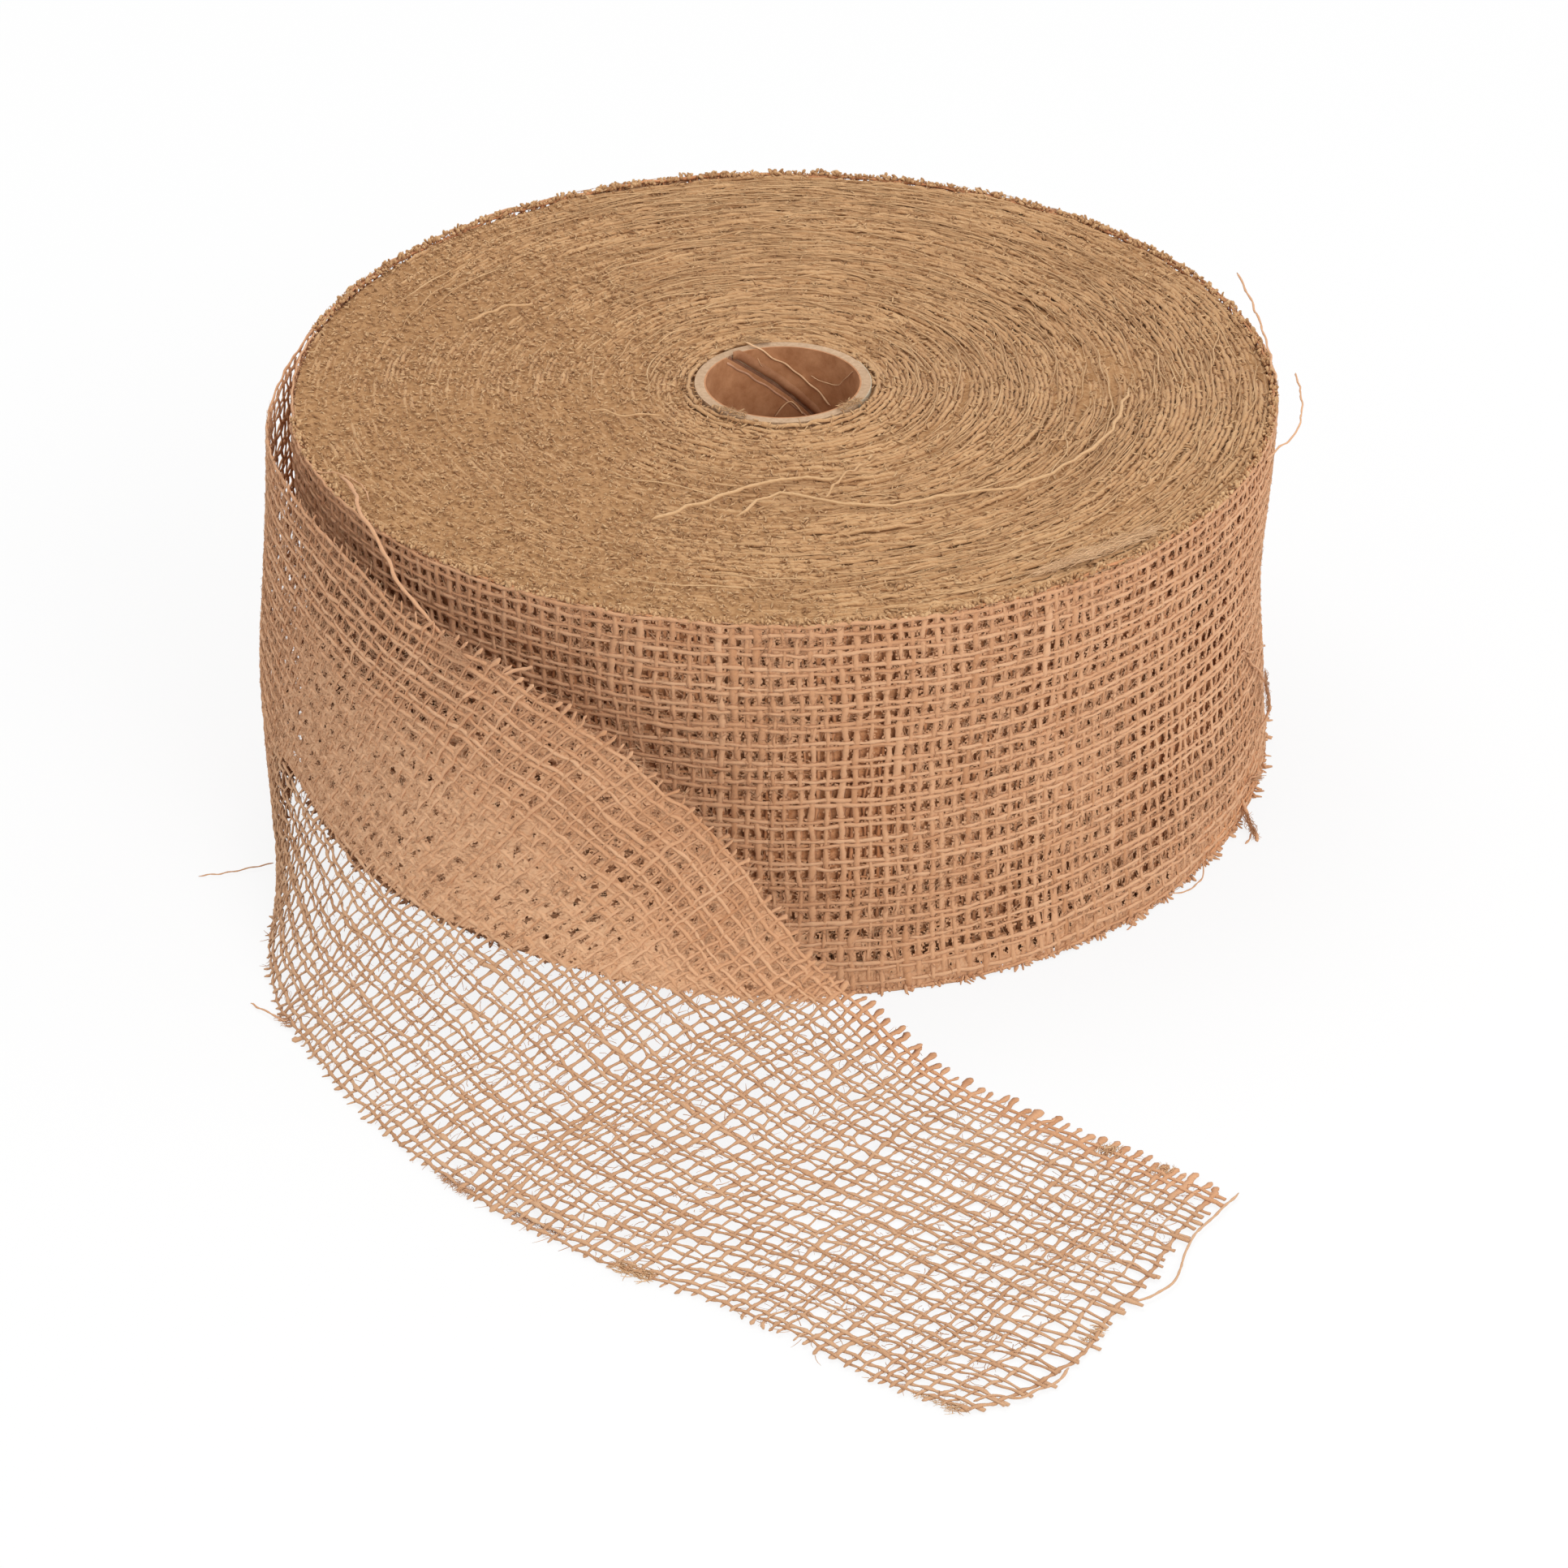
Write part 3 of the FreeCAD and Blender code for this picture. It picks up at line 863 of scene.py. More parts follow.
def ribbon_hairs():
    """The matted fibre and the loose fibres, in pieces for each stretch that moves by itself."""
    cuts = np.linspace(-TURN_LENGTH + 2, -2.0, 4)
    matted = make_field(60.0)

    def wall_felt(s, v):
        reach = 0.27 + 0.17 * matted(s, v) + 0.15 * np.clip((25 - v) / 20, 0, 1)
        reach = reach + 0.8 * np.clip((8 - v) / 4, 0, 1)
        return reach + 0.3 * np.clip((60 - TURN_LENGTH - s) / 40, 0, 1)

    def wall_hairs(s, v):
        return 0.55 + 0.45 * matted(s, v) + 0.3 * (v < 30)

    def tail_felt(s, v):
        reach = np.interp(s, (60.0, 80.0, 130.0, 195.0, 225.0), (0.35, 0.68, 0.68, 0.70, 1.10))
        reach = reach + 0.10 * matted(s, v) - 0.28 * np.clip((v - 70) / 12, 0, 1)
        reach = reach - 0.2 * np.clip((v - 84) / 12, 0, 1) * np.interp(s, (120, 170), (1, 0))
        return np.where(before_roll(s, v) > 0.3, reach, -0.5)

    def before_hairs(s, v):
        return before_roll(s, v) - 0.2

    def evenly(s, v):
        return 1.0

    turn = []
    for number, (low, high) in enumerate(zip(cuts[:-1], cuts[1:]), 1):
        turn.append(felt_piece(f"outer_turn_felt_{number}", ribbon, low, high, wall_felt))
        turn.append(hair_piece(f"outer_turn_hairs_{number}", 9500, low, high, wall_hairs))
    tail = [felt_piece("tail_felt", ribbon, 22.0, 264.0, tail_felt)]
    tail.append(hair_piece("tail_hairs_1", 9500, 22.0, 262.0, before_hairs))
    tail.append(hair_piece("tail_hairs_2", 2600, 20.0, 298.0, evenly))
    tail_end = [hair_piece("tail_end_hairs", 900, 318.0, TAIL_LENGTH - 3, evenly)]
    turn.append(matted_ends("outer_turn_rim", 2400, False))
    turn.append(matted_ends("outer_turn_foot", 1000, True))
    found = {"outer_turn": turn, "tail": tail, "tail_end": tail_end}
    for body, pieces in found.items():
        for piece in pieces:
            belongs(piece, body)
    return found


def ribbon_extras():
    """All that goes with the cloth of each body: felt, fibres, loose threads and tufts."""
    extra = ribbon_hairs()
    for body, threads, kink, floor_light in (
        ("outer_turn", WALL_THREADS, 0.14, 0.0),
        ("tail", TAIL_THREADS, 0.14, 0.0),
        ("tail_end", END_THREADS, 0.08, 1.0),
    ):
        made = thread_piece(f"{body}_threads", body, threads, weave_finish, kink, floor_light)
        extra[body].append(made)
    for body, tufts, finish in (
        ("outer_turn", WALL_TUFTS, weave_finish),
        ("tail", TAIL_TUFTS, weave_finish),
        ("tail_end", END_TUFTS, pale_lit_fluff),
    ):
        extra[body].append(tuft_piece(f"{body}_tufts", body, tufts, finish))
    return extra


def bend(piece):
    """Bakes the piece's place into its mesh."""
    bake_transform(piece)


def declare_sheet(held, going):
    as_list(going)


def ribbon_pieces():
    """The cloth of the last turn and of the tail, in pieces that stand for the CAD nodes."""
    cuts = np.linspace(-TURN_LENGTH, PEEL_FROM, 5)
    stretches = [
        (f"outer_turn_cloth_{number}", low, high, "stretched")
        for number, (low, high) in enumerate(zip(cuts[:-1], cuts[1:]), 1)
    ]
    stretches.append(("peel_cloth", PEEL_FROM, PEEL_TO, "hung"))
    stretches.append(("tail_cloth", PEEL_TO, TAIL_SPLIT, "hung"))
    stretches.append(("tail_end_cloth", TAIL_SPLIT, TAIL_LENGTH, "laid"))
    made = {}
    for name, low, high, _ in stretches:
        made[name] = cloth_piece(name, ribbon, low, high, weave_finish)
        if name.startswith("outer_turn"):
            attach(made[name], "outer_turn")
    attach(made["tail_cloth"], "tail")
    bend(made["peel_cloth"])
    bend(made["tail_end_cloth"])

    extra = ribbon_extras()
    stands_for = {"outer_turn_cloth_1": "outer_turn", "tail_cloth": "tail", "tail_end_cloth": "tail_end"}
    for name, low, high, held in stretches:
        body = stands_for.get(name)
        if body:
            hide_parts(f"ribbon_{body}")
        declare_sheet(held, extra[body] if body else [])


# Where the next turn shows once the tail swings out, in degrees about the roll's axis.
UNDER_WINDOW = (-194.0, -169.0)


def under_pieces(wound):
    """The pack's last turn: darker, as painted shade, where the outer turn covers it, and in the plain
    yarn colour where the outer turn leaves it bare.
    """
    cuts = [-TAU * UNDER_R, *(math.radians(angle) * UNDER_R for angle in UNDER_WINDOW), 0.0]
    for number, (low, high) in enumerate(zip(cuts[:-1], cuts[1:])):
        finish = weave_finish if number == 1 else under_shaded_jute
        piece = cloth_piece(f"under_turn_cloth_{number + 1}", under, low, high, finish, 4)
        belongs(piece, "roll")
        declare_sheet("stretched", wound[number::2] if number < 2 else [])


# ---------------------------------------------------------------- the wound turns
TURN_PITCH = 1.25
PACK_OUTER = UNDER_R - 0.55
PACK_INNER = CORE_R + 0.7
FACE_DEPTH = 1.1


def spiral(low, high, step):
    """Places along a spiral from one radius to another: radius and angle."""
    length = math.pi * (high**2 - low**2) / TURN_PITCH
    count = int(length / step)
    radius = np.sqrt(low**2 + (high**2 - low**2) * np.linspace(0, 1, count))
    angle = TAU * (radius - low) / TURN_PITCH
    return radius, angle


turn_sway = make_field(55.0)
turn_rise = make_field(38.0)
turn_bow = make_field(9.0)


def combed(x, y):
    """How strongly the cut ends lie along the turns: least on the side where the tail leaves."""
    toward_tail = (-0.97 * x - 0.25 * y) / 70
    return np.clip(1.15 - 1.1 * np.clip(toward_tail + 0.25, 0, 1), 0, 1)


GROOVE_WIDTH = 2.6
GROOVE_RINGS, GROOVE_WAVES = 64, 4
groove_phases = rng.uniform(0, TAU, (GROOVE_RINGS, GROOVE_WAVES))


def grooves(x, y):
    """Dark gaps along parts of some turns, from 0 to 1."""
    ring = np.hypot(x, y) / GROOVE_WIDTH + 0.15 * turn_sway(x, y)
    which = np.clip(ring.astype(int), 0, GROOVE_RINGS - 1)
    angle = np.arctan2(y, x)
    total = 0.0
    for harmonic in range(GROOVE_WAVES):
        total = total + np.sin((harmonic + 1) * angle + groove_phases[which, harmonic])
    depth = np.clip(0.9 * total - 1.35, 0, 1)
    return depth * np.sin(math.pi * (ring % 1)) * combed(x, y) ** 2


def collar_reach(angle):
    """How far the matted ends may lean in over the core, as a share."""
    return np.clip(-1.6 * np.sin(angle), 0, 1)[:, None]


def collar(x, y):
    """How much the matted ends stand up beside the core: most at the front."""
    near = np.exp(-((np.hypot(x, y) - PACK_INNER) / 2.0) ** 2)
    return near * (0.5 + 1.1 * np.clip(-1.6 * y / np.hypot(x, y), 0, 1))


def wound_face(name, top, step, sides, stub_share, bands):
    """The edges of all the inner turns at one end of the roll, with the ends of their wefts."""
    face_z = WIDTH - FACE_DEPTH if top else FACE_DEPTH
    up = 1.0 if top else -1.0
    edges = np.sqrt(np.linspace(PACK_INNER**2, PACK_OUTER**2, bands + 1))
    made = []
    for number, (low, high) in enumerate(zip(edges[:-1], edges[1:])):
        strands = Strands()
        radius, angle = spiral(low, high, step)
        x, y = radius * np.cos(angle), radius * np.sin(angle)
        arc = np.cumsum(np.full(len(radius), step))
        crimp = 0.14 * np.sin(TAU * arc / 6.6 + 2.0 * turn_bow(x, y))
        shifted = radius + 0.30 * turn_sway(x, y) + crimp
        rise = 0.16 * turn_rise(x, y) + 0.22 * wander(arc, 30.0, 1)[0]
        rise = rise + collar(x, y) - 1.3 * grooves(x, y)
        rise = rise + 0.12 * wander(arc, 7.0, 1)[0]
        z = face_z + up * (rise - 0.15 - 0.9 * (1 - combed(x, y)))
        path = on_circle(shifted, angle, z)
        path[:, 2] = np.clip(path[:, 2], 0.65, WIDTH + 0.2 + collar(x, y))
        fat = fatness(arc, 1, 0.0, 5)
        tint = 0.5 + 0.05 * wander(arc, 35.0, 1)
        strands.add(path[None], upright(path, up)[None], 0.64 * fat, 0.60 * fat, tint, sides)
        add_stubs(strands, low, high, face_z, up, stub_share)
        piece = belongs(strands.build(f"{name}_{number + 1}", top_lit_jute), "roll")
        if top and number == 0:
            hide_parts("ribbon_pack")
        made.append(piece)
    return made


STEPS = np.linspace(0, 1, 4)
STUB_TILTS = np.array((0.45, 0.9, 1.1, 1.25))


def bent_over(length, heading):
    """Short ends that bend over towards their tips: their rise, and their run in two ways."""
    tilt = np.clip(rng.uniform(0.9, 1.9, length.shape) * STUB_TILTS, 0, 1.75)
    step = length / 3 * np.array((0, 1, 1, 1))
    rise = np.cumsum(np.cos(tilt) * step, axis=1)
    run = np.cumsum(np.sin(tilt) * step, axis=1)
    return rise, run * np.cos(heading), run * np.sin(heading)


def add_stubs(strands, low, high, face_z, up, share):
    """The cut ends of the wefts, bent over and matted together."""
    radius, angle = spiral(low, high, 0.84 / share)
    count = len(radius)
    radius = radius + rng.normal(0, 0.45, count)
    angle = angle + rng.normal(0, 0.9, count) / radius
    along_turns = combed(radius * np.cos(angle), radius * np.sin(angle))
    length = rng.uniform(0.8, 2.6, count) * (0.65 + 0.35 * along_turns)
    spread = 2.6 - 1.7 * along_turns[:, None]
    heading = rng.normal(0, 1.0, (count, 1)) * spread
    heading = heading + math.pi * (rng.random((count, 1)) < 0.4)
    rise, forward, inward = bent_over(length[:, None], heading)
    inward = inward + rng.normal(0, 0.12, (count, 1)) * STEPS**2 * length[:, None]
    turn = angle[:, None] + forward / radius[:, None]
    reach = radius[:, None] + inward
    reach = np.maximum(reach, CORE_R - 1.6 * collar_reach(angle))
    x, y = reach * np.cos(turn), reach * np.sin(turn)
    base = rng.uniform(-1.1, 0.5, (count, 1)) + collar(x, y)
    sunk = grooves(x[:, :1], y[:, :1])
    z = face_z + up * (base + rise * 0.7 + 0.12 * turn_rise(x, y) - 1.4 * sunk)
    highest = WIDTH + 0.45 + collar(x, y) - 1.4 * sunk
    z = np.clip(z, 0.3, highest)
    path = np.stack((x, y, z), axis=-1)
    outs = upright(path, up)
    outs[..., 0] = rng.normal(0, 0.3, (count, 1))
    outs = unit(outs)
    fat = rng.uniform(0.15, 0.34, (count, 1)) * np.array((0.9, 1.1, 0.9, 0.35))
    # Ends are lighter towards their tips; in the grooves they are painted darker: painted shade in the
    # gaps.
    tint = 0.52 + 0.30 * rng.standard_normal((count, 1)) + 0.08 * STEPS - 0.25 * sunk
    strands.add(path, outs, fat, fat * 0.8, np.clip(tint, 0.05, 1.0), 3)


def hair_piece(name, count, low, high, chance):
    """Fine fibres on the yarns of a stretch of ribbon; chance is their density from 0 to 1."""
    tries = 12 * count
    s = rng.uniform(low, high, (tries, 1))
    v = rng.uniform(-0.3, 100.3, (tries, 1))
    dense = np.broadcast_to(chance(s, v), s.shape)[:, 0]
    kept = np.flatnonzero(rng.random(tries) < dense)[:count]
    s, v = s[kept], v[kept]
    count = len(kept)
    heading = rng.uniform(0, TAU, (count, 1)) + rng.normal(0, 0.9, (count, 1)) * STEPS
    length = rng.uniform(1.2, 4.0, (count, 1)) / 3
    s = s + np.cumsum(np.cos(heading) * length, axis=1)
    v = v + np.cumsum(np.sin(heading) * length, axis=1)
    v = np.where(s < 0, np.clip(v, 0.2, WIDTH - 0.2), v)
    rise = rng.uniform(0.0, 0.4, (count, 1)) + rng.normal(0, 0.22, (count, 1)) * STEPS**2
    paths, outs = on_strip(s, v, rise)
    thick = rng.uniform(0.045, 0.11, (count, 1)) * np.array((1.0, 1.0, 0.8, 0.4))
    # Matted fibres before the roll are painted lighter, more further along the tail: painted light.
    painted_light = matting(s, v) * np.interp(s, (90.0, 190.0), (0.0, 0.22))
    tint = 0.60 + painted_light + 0.2 * rng.standard_normal((count, 1))
    strands = Strands()
    strands.add(paths, outs, thick, thick, np.clip(tint, 0, 1), 3)
    return strands.build(name, weave_finish)


def matted_ends(name, count, low_edge):
    """The last turn's weft ends at its upper rim or at its foot, matted into small bumps."""
    bumps = make_field(5.0)
    s = rng.uniform(-TURN_LENGTH + 2, -4.0, (count, 1))
    length = rng.uniform(0.6, 1.5, (count, 1)) * (1 + 0.7 * np.clip(bumps(s, 0 * s), -0.7, 1))
    heading = rng.normal(0, 0.8, (count, 1))
    along = s + length * np.sin(heading) * STEPS
    reach = length * np.cos(heading) * STEPS
    if low_edge:
        v = rng.uniform(0.5, 1.6, (count, 1)) - 0.5 * reach
        height = 0.1 + 1.05 * reach
    else:
        v = WIDTH - 0.5 + 0.9 * reach
        v = np.minimum(v, WIDTH + rng.uniform(0.2, 1.0, (count, 1)))
        height = rng.uniform(-1.8, 0.3, (count, 1)) - 0.2 * STEPS
    paths, outs = on_strip(along, v, height)
    fat = rng.uniform(0.22, 0.46, (count, 1)) * np.array((0.8, 1.1, 1.1, 0.6))
    tint = np.clip(0.5 + 0.2 * rng.standard_normal((count, 1)), 0, 1)
    strands = Strands()
    strands.add(paths, outs, fat, fat, tint, 5)
    return strands.build(name, weave_finish if low_edge else top_lit_jute)


def add_fluff(strands, start, end, count, reach, longest, spread, fat=1.0):
    """Fine fibres lying roughly along a line from start to end."""
    start, end = np.array(start, float), np.array(end, float)
    way = end - start
    far = np.linalg.norm(way)
    way = way / far
    side = np.array((-way[1], way[0], 0.0))
    middle = rng.uniform(0, 1, (count, 1, 1))
    length = rng.uniform(0.4, 1.0, (count, 1)) * longest
    t = np.linspace(-0.5, 0.5, 7)
    turn = rng.normal(0, spread, (count, 1))
    along = t * length
    off = rng.normal(0, reach, (count, 1)) + along * np.sin(turn)
    off = off + 0.25 * wander(along, 5.0, count)
    up = np.abs(rng.normal(0, reach * 0.35, (count, 1))) + 0.15 * wander(along, 6.0, count)
    up = np.maximum(up, 0.0)
    paths = start + way * (middle * far + (along * np.cos(turn))[..., None])
    paths = paths + side * off[..., None] + np.array((0, 0, 1.0)) * up[..., None]
    thick = fat * rng.uniform(0.04, 0.10, (count, 1))
    thick = thick * np.array((0.4, 0.8, 1, 1, 1, 0.8, 0.4))
    tint = np.clip(0.68 + 0.15 * rng.standard_normal((count, 1)), 0, 1)
    strands.add(paths, upright(paths), thick, thick, tint, 3)


def tuft_piece(name, body, tufts, finish):
    strands = Strands()
    for tuft in tufts:
        add_fluff(strands, *tuft)
    return belongs(strands.build(name, finish), body)


def lying_fibres():
    """Long fibres that lie along the turns on top of the roll."""
    count, rings = 1300, 14
    t = np.linspace(-0.5, 0.5, rings)
    radius = np.sqrt(rng.uniform(28.0**2, 117.0**2, (count, 1)))
    # Fewest on the side that faces the tail, most at the back.
    middle = rng.uniform(0, TAU, (count, 1))
    middle = middle + 0.45 * np.cos(middle) + 0.2 * np.sin(middle)
    length = rng.uniform(9, 46, (count, 1)) * np.minimum(radius / 60, 1)
    wanted = combed(radius * np.cos(middle), radius * np.sin(middle)) ** 2 + 0.04
    kept = rng.random(count) < wanted[:, 0]
    radius, middle, length = radius[kept], middle[kept], length[kept]
    count = len(radius)
    drift = rng.normal(0, 0.05, (count, 1)) * length
    arc = t * length
    reach = radius + drift * t * 2 + 0.5 * wander(arc, 25.0, count)
    turn = middle + arc / radius
    rise = 0.16 * wander(arc, 20.0, count)
    x, y = reach * np.cos(turn), reach * np.sin(turn)
    z = WIDTH - 0.25 + np.clip(rise, -0.4, 0.35) - 1.2 * grooves(x, y)
    paths = np.stack((x, y, z), axis=-1)
    shape = np.clip(1.3 - np.abs(t) * 2, 0.25, 1)
    thick = rng.uniform(0.08, 0.24, (count, 1)) * shape
    tint = np.clip(0.66 + 0.14 * rng.standard_normal((count, 1)), 0, 1)
    strands = Strands()
    strands.add(paths, upright(paths), thick, thick * 0.8, tint, 4)
    return belongs(strands.build("lying_fibres", top_lit_jute), "roll")


def smooth_path(points, rings):
    points = np.array(points, float)
    steps = np.linalg.norm(np.diff(points, axis=0), axis=1)
    knots = np.concatenate(([0], np.cumsum(steps)))
    return hermite(np.linspace(0, knots[-1], rings), knots, points)


def thread_piece(name, body, threads, finish, kink=0.22, floor_light=0.0):
    """Loose yarns, each with its half thickness and the few points it passes."""
    strands = Strands()
    for thick, *points in threads:
        rings = 36
        path = smooth_path(points, rings)
        length = np.linalg.norm(np.diff(path, axis=0), axis=1).sum()
        at = np.linspace(0, length, rings)
        for axis in range(3):
            path[1:-1, axis] += kink * wander(at, 8.0, 1)[0][1:-1]
        path[:, 2] = np.maximum(path[:, 2], thick + 0.1)
        outs = np.tile((0.1, 0.05, 1.0), (rings, 1))
        fat = thick * (1 + 0.12 * wander(at, 3.0, 1)[0])
        fat[0], fat[-1] = 0.4 * thick, 0.4 * thick
        tint = np.full(rings, rng.uniform(0.55, 0.75))
        strands.add(path[None], outs[None], fat, fat * 0.9, tint, 6, floor_light=floor_light)
    return belongs(strands.build(name, finish), body)


# Threads: half the thickness, and the points that the thread passes.
TOP = WIDTH + 0.8
TOP_THREADS = (
    (0.50, (-31, -73, TOP), (-18, -64, TOP + 0.3), (-1, -53, TOP), (15, -51, TOP - 0.4)),
    (
        0.45, (-11, -71, TOP - 0.2), (-1, -60, TOP + 0.2), (10, -64, TOP + 0.4), (22, -66, TOP),
        (41, -60, TOP), (56, -56, TOP), (70, -43, TOP + 0.2), (78, -31, TOP), (85, -4, TOP - 0.4),
    ),
    (0.32, (10, -62, TOP + 0.3), (14, -54, TOP + 1.2), (20, -45, TOP + 0.5)),
    (0.42, (-79, 32, TOP - 0.2), (-71, 38, TOP + 0.4), (-63, 42, TOP)),
    (0.30, (-47, -16, TOP - 0.3), (-40, -19, TOP + 0.1), (-30, -19, TOP - 0.2)),
)
BORE_THREADS = (
    (
        0.25, (-9.5, 19.6, 101.2), (-6.5, 18.0, 100.4), (-3.5, 18.2, 98.2), (1, 18.5, 95),
        (7, 17.2, 90.5), (12, 14.2, 86),
    ),
    (0.12, (7, 17, 93), (12, 14, 92), (17.5, 7.5, 99)),
    (0.20, (-2, 18.4, 81), (2, 18.3, 85), (5, 17.8, 82)),
    (0.10, (-11, 17, 100.3), (-7, 18, 98), (-5, 18, 95)),
)


def polar_points(*places):
    """Points from (radius, degrees, height)."""
    return tuple((*polar(radius, degrees), height) for radius, degrees, height in places)


TAIL_THREADS = (
    (
        0.48, (-106, -51, 100.9), (-102, -60, 102), (-100, -72, 103), (-94, -84, 99.3), (-90, -94, 96),
        (-84, -103, 93), (-79, -110, 90.6),
    ),
    (0.16, (-112, -48, 100.7), (-108, -50, 101.2), (-101, -56, 101.8), (-98, -66, 102)),
    (0.50, (-74, -122, 80.5), (-70, -120.5, 82.5), (-65, -117.5, 84), (-58, -112, 83)),
    (0.25, (-126, -128, 0.6), (-122, -132, 0.8), (-117, -137, 1.5)),
    (0.20, (-143, -70.5, 0.4), (-138, -69.5, 0.5), (-132, -67.5, 0.6), (-125, -65, 0.9)),
)
END_THREADS = (
    (
        0.30, (103, -207, 0.6), (98, -215, 0.9), (92, -224, 0.8), (89, -233, 0.8), (87, -241, 1.0),
        (83, -246, 0.9), (77, -250, 0.9),
    ),
    (
        0.34, (62, -274, 0.9), (60, -278, 0.8), (55, -282, 0.8), (51, -285, 1.0), (46, -284, 0.9),
        (41, -286, 0.8),
    ),
)
# Tufts: two ends of a line, the number of fibres, how far off the line they lie, the longest one,
# how much they turn, and how thick they are if not as usual.
TAIL_TUFTS = (
    ((-77, -200, 0.5), (-71, -207, 0.5), 150, 0.6, 3.5, 1.2),
    ((-119, -134, 0.8), (-116, -138, 0.8), 50, 0.5, 3.5, 1.2),
    ((-78, -113, 91.5), (-73, -119, 88), 110, 0.7, 4.0, 0.8),
    ((-62, -214, 0.4), (-50, -223, 0.4), 110, 0.4, 3.5, 0.8),
)
END_TUFTS = (
    ((35, -288, 0.4), (40, -288, 0.4), 90, 0.7, 3.0, 1.4),
    ((70, -259, 0.5), (66, -264, 0.5), 60, 0.6, 3.0, 1.4, 1.7),
    ((74.0, -192.5, 0.7), (75.0, -188.5, 0.6), 90, 1.5, 3.4, 0.4, 1.5),
    ((86.0, -200.5, 0.7), (87.0, -196.5, 0.6), 60, 1.0, 3.2, 0.4, 1.5),
    ((-37, -235.5, 0.6), (-29, -240.0, 0.6), 120, 1.2, 4.0, 0.6, 1.4),
    ((28, -282, 0.4), (35, -287, 0.4), 60, 0.4, 3.0, 1.2),
)
TOP_STREAK = (
    ((68, -93, TOP - 0.1), (86, -79, TOP), 300, 0.9, 11.0, 0.18, 1.3),
    ((60, -98, TOP - 0.2), (74, -88, TOP - 0.1), 160, 0.6, 10.0, 0.14, 1.3),
)
TOP_TUFTS = (
    ((-9, 21.5, TOP - 0.2), (-4, 21, TOP - 0.2), 60, 0.6, 4.0, 0.8),
    ((-16, -14, TOP - 0.4), (-9, -19, TOP - 0.4), 60, 0.6, 4.0, 0.8),
    ((14, -15, TOP - 0.4), (19, -10, TOP - 0.4), 60, 0.6, 4.0, 0.8),
)
WALL_THREADS = (
    (0.28, *polar_points((121.5, 0, 100.3), (122, 10, 101.5), (124.7, 20, 103), (127, 25, 103.5))),
    (0.25, *polar_points((127, 3, 99), (127.4, -4, 100), (127.4, -11, 99.5), (122.4, -18, 98))),
    (0.24, *polar_points((119.5, -20, 47), (121, -16, 43), (122, -12, 40))),
    (0.36, *polar_points((120.0, -18, 43), (122.2, -12, 30), (123.4, -9, 18), (122.4, -15, 19))),
    (0.26, *polar_points((121.8, -19, 8.6), (122.6, -16, 7), (123.6, -13, 5))),
    (0.48, (113.6, -40.5, 5), (115.6, -44.6, 1.6), (116.6, -50, 0.8), (117.3, -54.5, 0.6)),
    (0.24, (116.3, -50, 0.6), (115.2, -53, 0.6), (114.2, -55.5, 0.5)),
    (0.20, (103, -65.8, 3), (102.6, -71.5, 0.8), (100.1, -76, 0.6), (94.2, -80.5, 1.2)),
    (0.20, (86.5, -86.5, 2), (85.5, -91, 0.8), (83, -95.3, 0.5)),
)
WALL_TUFTS = (
    ((119.8, -27, 33), (121.6, -20, 17), 160, 0.6, 4.0, 0.5),
    ((114.5, -43, 2.5), (117, -53, 0.8), 110, 0.4, 4.0, 0.4),
    ((117.5, -38, 8), (119.5, -30, 5), 60, 0.5, 3.5, 0.8),
)


def pack_body():
    """The inside of the roll, seen between the yarns, coloured as the painted shade deep in the holes.
    """
    inner, foot, top = PACK_INNER - 0.6, 1.6, WIDTH - 1.5
    outline = [(inner, foot)]
    outline += [(UNDER_R - 0.75 + waist(z), z) for z in np.linspace(foot, top, 12)]
    outline += [(inner, top)]
    sides, rings = 360, len(outline)
    turns = TAU * np.arange(sides) / sides
    verts = [(r * math.cos(a) * MM, r * math.sin(a) * MM, z * MM) for r, z in outline for a in turns]
    index = np.arange(rings * sides).reshape(rings, sides)
    after = np.roll(index, -1, axis=0)
    quads = (index, np.roll(index, -1, axis=1), np.roll(after, -1, axis=1), after)
    faces = np.stack(quads, axis=-1).reshape(-1, 4).tolist()
    mesh = bpy.data.meshes.new("wound_inside")
    mesh.from_pydata(verts, [], faces)
    # Both colours are painted shade: the sides take the redder brown of the deep holes, the end faces
    # the dark between the cut ends.
    mesh.materials.append(shaded_depth_material("jute_depth_shaded", (0.50, 0.21, 0.088), (0.72, 0.35, 0.17)))
    mesh.materials.append(shaded_depth_material("jute_ends_shaded", (0.33, 0.17, 0.075), (0.46, 0.26, 0.125)))
    for face in mesh.polygons:
        # The second colour, painted shade between the cut ends, is for the faces that look up or down.
        face.material_index = int(abs(face.normal.z) > 0.7)
    belongs(in_scene("wound_inside", mesh), "roll")


# ---------------------------------------------------------------- core
def core_finishes():
    """The CAD core shows itself, in paper and tape. The first name that fits a node counts."""
    finishes = {
        "core_liner": paper_material("kraft_liner", (0.40, 0.17, 0.07), (0.60, 0.30, 0.145), 260.0),
        "core": paper_material("core_board", (0.42, 0.27, 0.16), (0.60, 0.41, 0.26), 900.0),
        "starter": paper_material("tape", (0.5, 0.42, 0.3), (0.62, 0.55, 0.42), 500.0),
    }
    for name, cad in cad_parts.items():
        fitting = [finish for start, finish in finishes.items() if name.startswith(start)]
        if fitting:
            cad.data.materials.clear()
            cad.data.materials.append(fitting[0])


SEAM_TOP_ANGLE = 137.0
SEAM_CLIMB = 97.0
BORE_R = 19.0


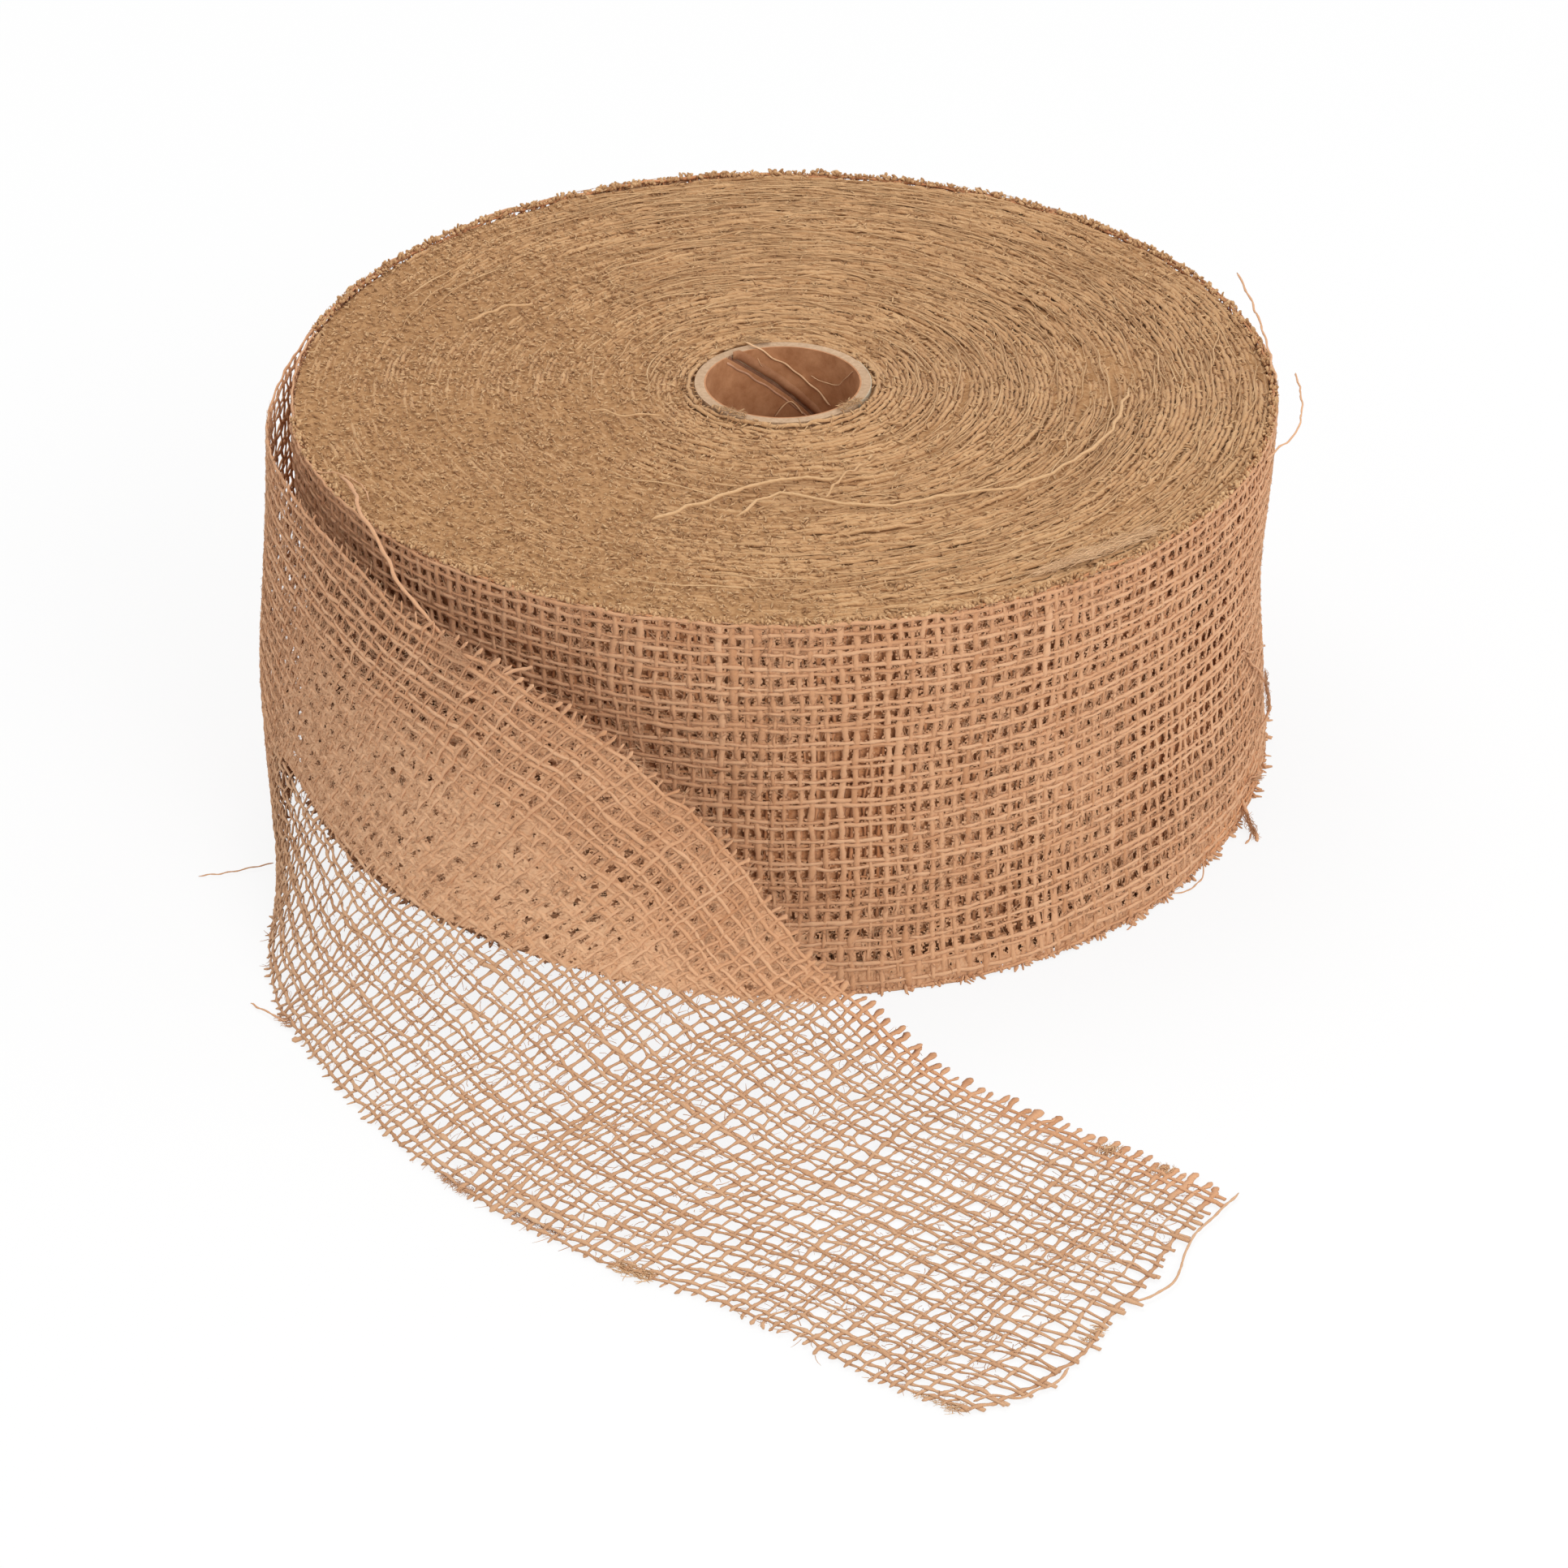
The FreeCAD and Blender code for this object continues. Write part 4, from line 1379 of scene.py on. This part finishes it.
def seam_strip(name, offset, radius, half_width, half_height, material, unevenness):
    """A strip along the liner's helical seam, offset across it. The one in the seam's gap is its painted
    shadow.
    """
    slope = math.atan2(SEAM_CLIMB, TAU * BORE_R)
    z = np.linspace(20.0, WIDTH - 0.6, 120)
    shift = offset + unevenness * wander(z, 5.0, 1)[0]
    angle = math.radians(SEAM_TOP_ANGLE) - TAU * (WIDTH - z) / SEAM_CLIMB
    angle = angle - shift * math.sin(slope) / BORE_R
    path = on_circle(radius, angle, z)
    path[:, 2] = np.minimum(path[:, 2] + shift * math.cos(slope), WIDTH - 0.2)
    outs = -on_circle(1, angle, 0 * z)
    strands = Strands()
    strands.add(path[None], outs[None], half_width, half_height, 0.5, 6)
    belongs(strands.build(name, material), "roll")


def seam_strips():
    shadow = paper_material("seam_dark", (0.16, 0.07, 0.038), (0.28, 0.13, 0.07), 260.0)
    overlap = paper_material("seam_overlap", (0.35, 0.148, 0.065), (0.52, 0.26, 0.13), 260.0)
    torn = paper_material("seam_torn", (0.52, 0.27, 0.15), (0.70, 0.42, 0.27), 400.0)
    # The seam's gap is drawn as a dark strip: painted shadow.
    seam_strip("seam_shadow", 0.0, 19.30, 0.85, 0.06, shadow, 0.0)
    seam_strip("seam_overlap", 2.2, 18.97, 1.35, 0.03, overlap, 0.05)
    seam_strip("seam_torn", -1.1, 18.93, 0.30, 0.10, torn, 0.10)


# ---------------------------------------------------------------- stage
def add_area(name, at, target, size, power):
    """A round white lamp that shines at the target."""
    lamp = bpy.data.lights.new(name, "AREA")
    lamp.shape = "DISK"
    lamp.size = size
    lamp.energy = power
    piece = in_scene(name, lamp)
    piece.location = at
    way = np.array(target) - np.array(at)
    way = way / np.linalg.norm(way)
    turn = math.atan2(way[1], way[0]) - math.pi / 2
    piece.rotation_euler = (math.acos(-way[2]), 0, turn)


def floor_piece():
    mesh = bpy.data.meshes.new("floor")
    mesh.from_pydata([(-6, -6, 0), (6, -6, 0), (6, 6, 0), (-6, 6, 0)], [], [(0, 1, 2, 3)])
    mesh.materials.append(stage_material())
    floor = in_scene("floor", mesh)
    floor.location = (0, 0, -0.0002)


def white_world():
    """White behind the object, and a slightly darker white as light from all round."""
    world = bpy.data.worlds.new("studio_world")
    bpy.context.scene.world = world
    world.use_nodes = True
    tree = world.node_tree
    back = tree.nodes["Background"]
    back.inputs["Strength"].default_value = 1.0
    seen = tree.nodes.new("ShaderNodeLightPath").outputs["Is Camera Ray"]
    feed(tree, back.inputs["Color"], mixed(tree, "MIX", seen, (0.80, 0.80, 0.80), (1.0, 1.0, 1.0)))


def camera():
    """The photograph's view: from 31 degrees above the table, with a long lens."""
    lens = bpy.data.cameras.new("camera")
    lens.lens = 142.65
    lens.sensor_width = 36.0
    lens.clip_end = 20.0
    piece = in_scene("camera", lens)
    piece.location = (0.0003, -1.3649, 0.7991)
    piece.rotation_euler = (math.radians(59.175), 0, 0)
    bpy.context.scene.camera = piece


def studio():
    floor_piece()
    white_world()
    add_area("key_light", (0.75, -1.35, 1.05), (0, -0.03, 0.04), 0.9, 12.5)
    add_area("side_light", (1.5, 0.1, 0.7), (0, -0.03, 0.04), 0.8, 3.1)
    add_area("top_light", (-0.35, 0.45, 1.65), (0, 0, 0.05), 1.2, 8.5)
    camera()
    bpy.context.scene.view_settings.view_transform = "Standard"


ribbon_pieces()
wound = wound_face("top_edges", True, 1.2, 4, 1.0, 7)
wound += wound_face("base_edges", False, 3.2, 4, 0.25, 2)
wound.append(lying_fibres())
wound.append(tuft_piece("top_tufts", "roll", TOP_TUFTS, top_lit_jute))
wound.append(tuft_piece("top_streak", "roll", TOP_STREAK, pale_lit_fluff))
wound.append(thread_piece("top_threads", "roll", TOP_THREADS, top_lit_jute))
wound.append(thread_piece("bore_threads", "roll", BORE_THREADS, pale_lit_fluff, 0.12))
under_pieces(wound)
pack_body()
core_finishes()
seam_strips()
studio()
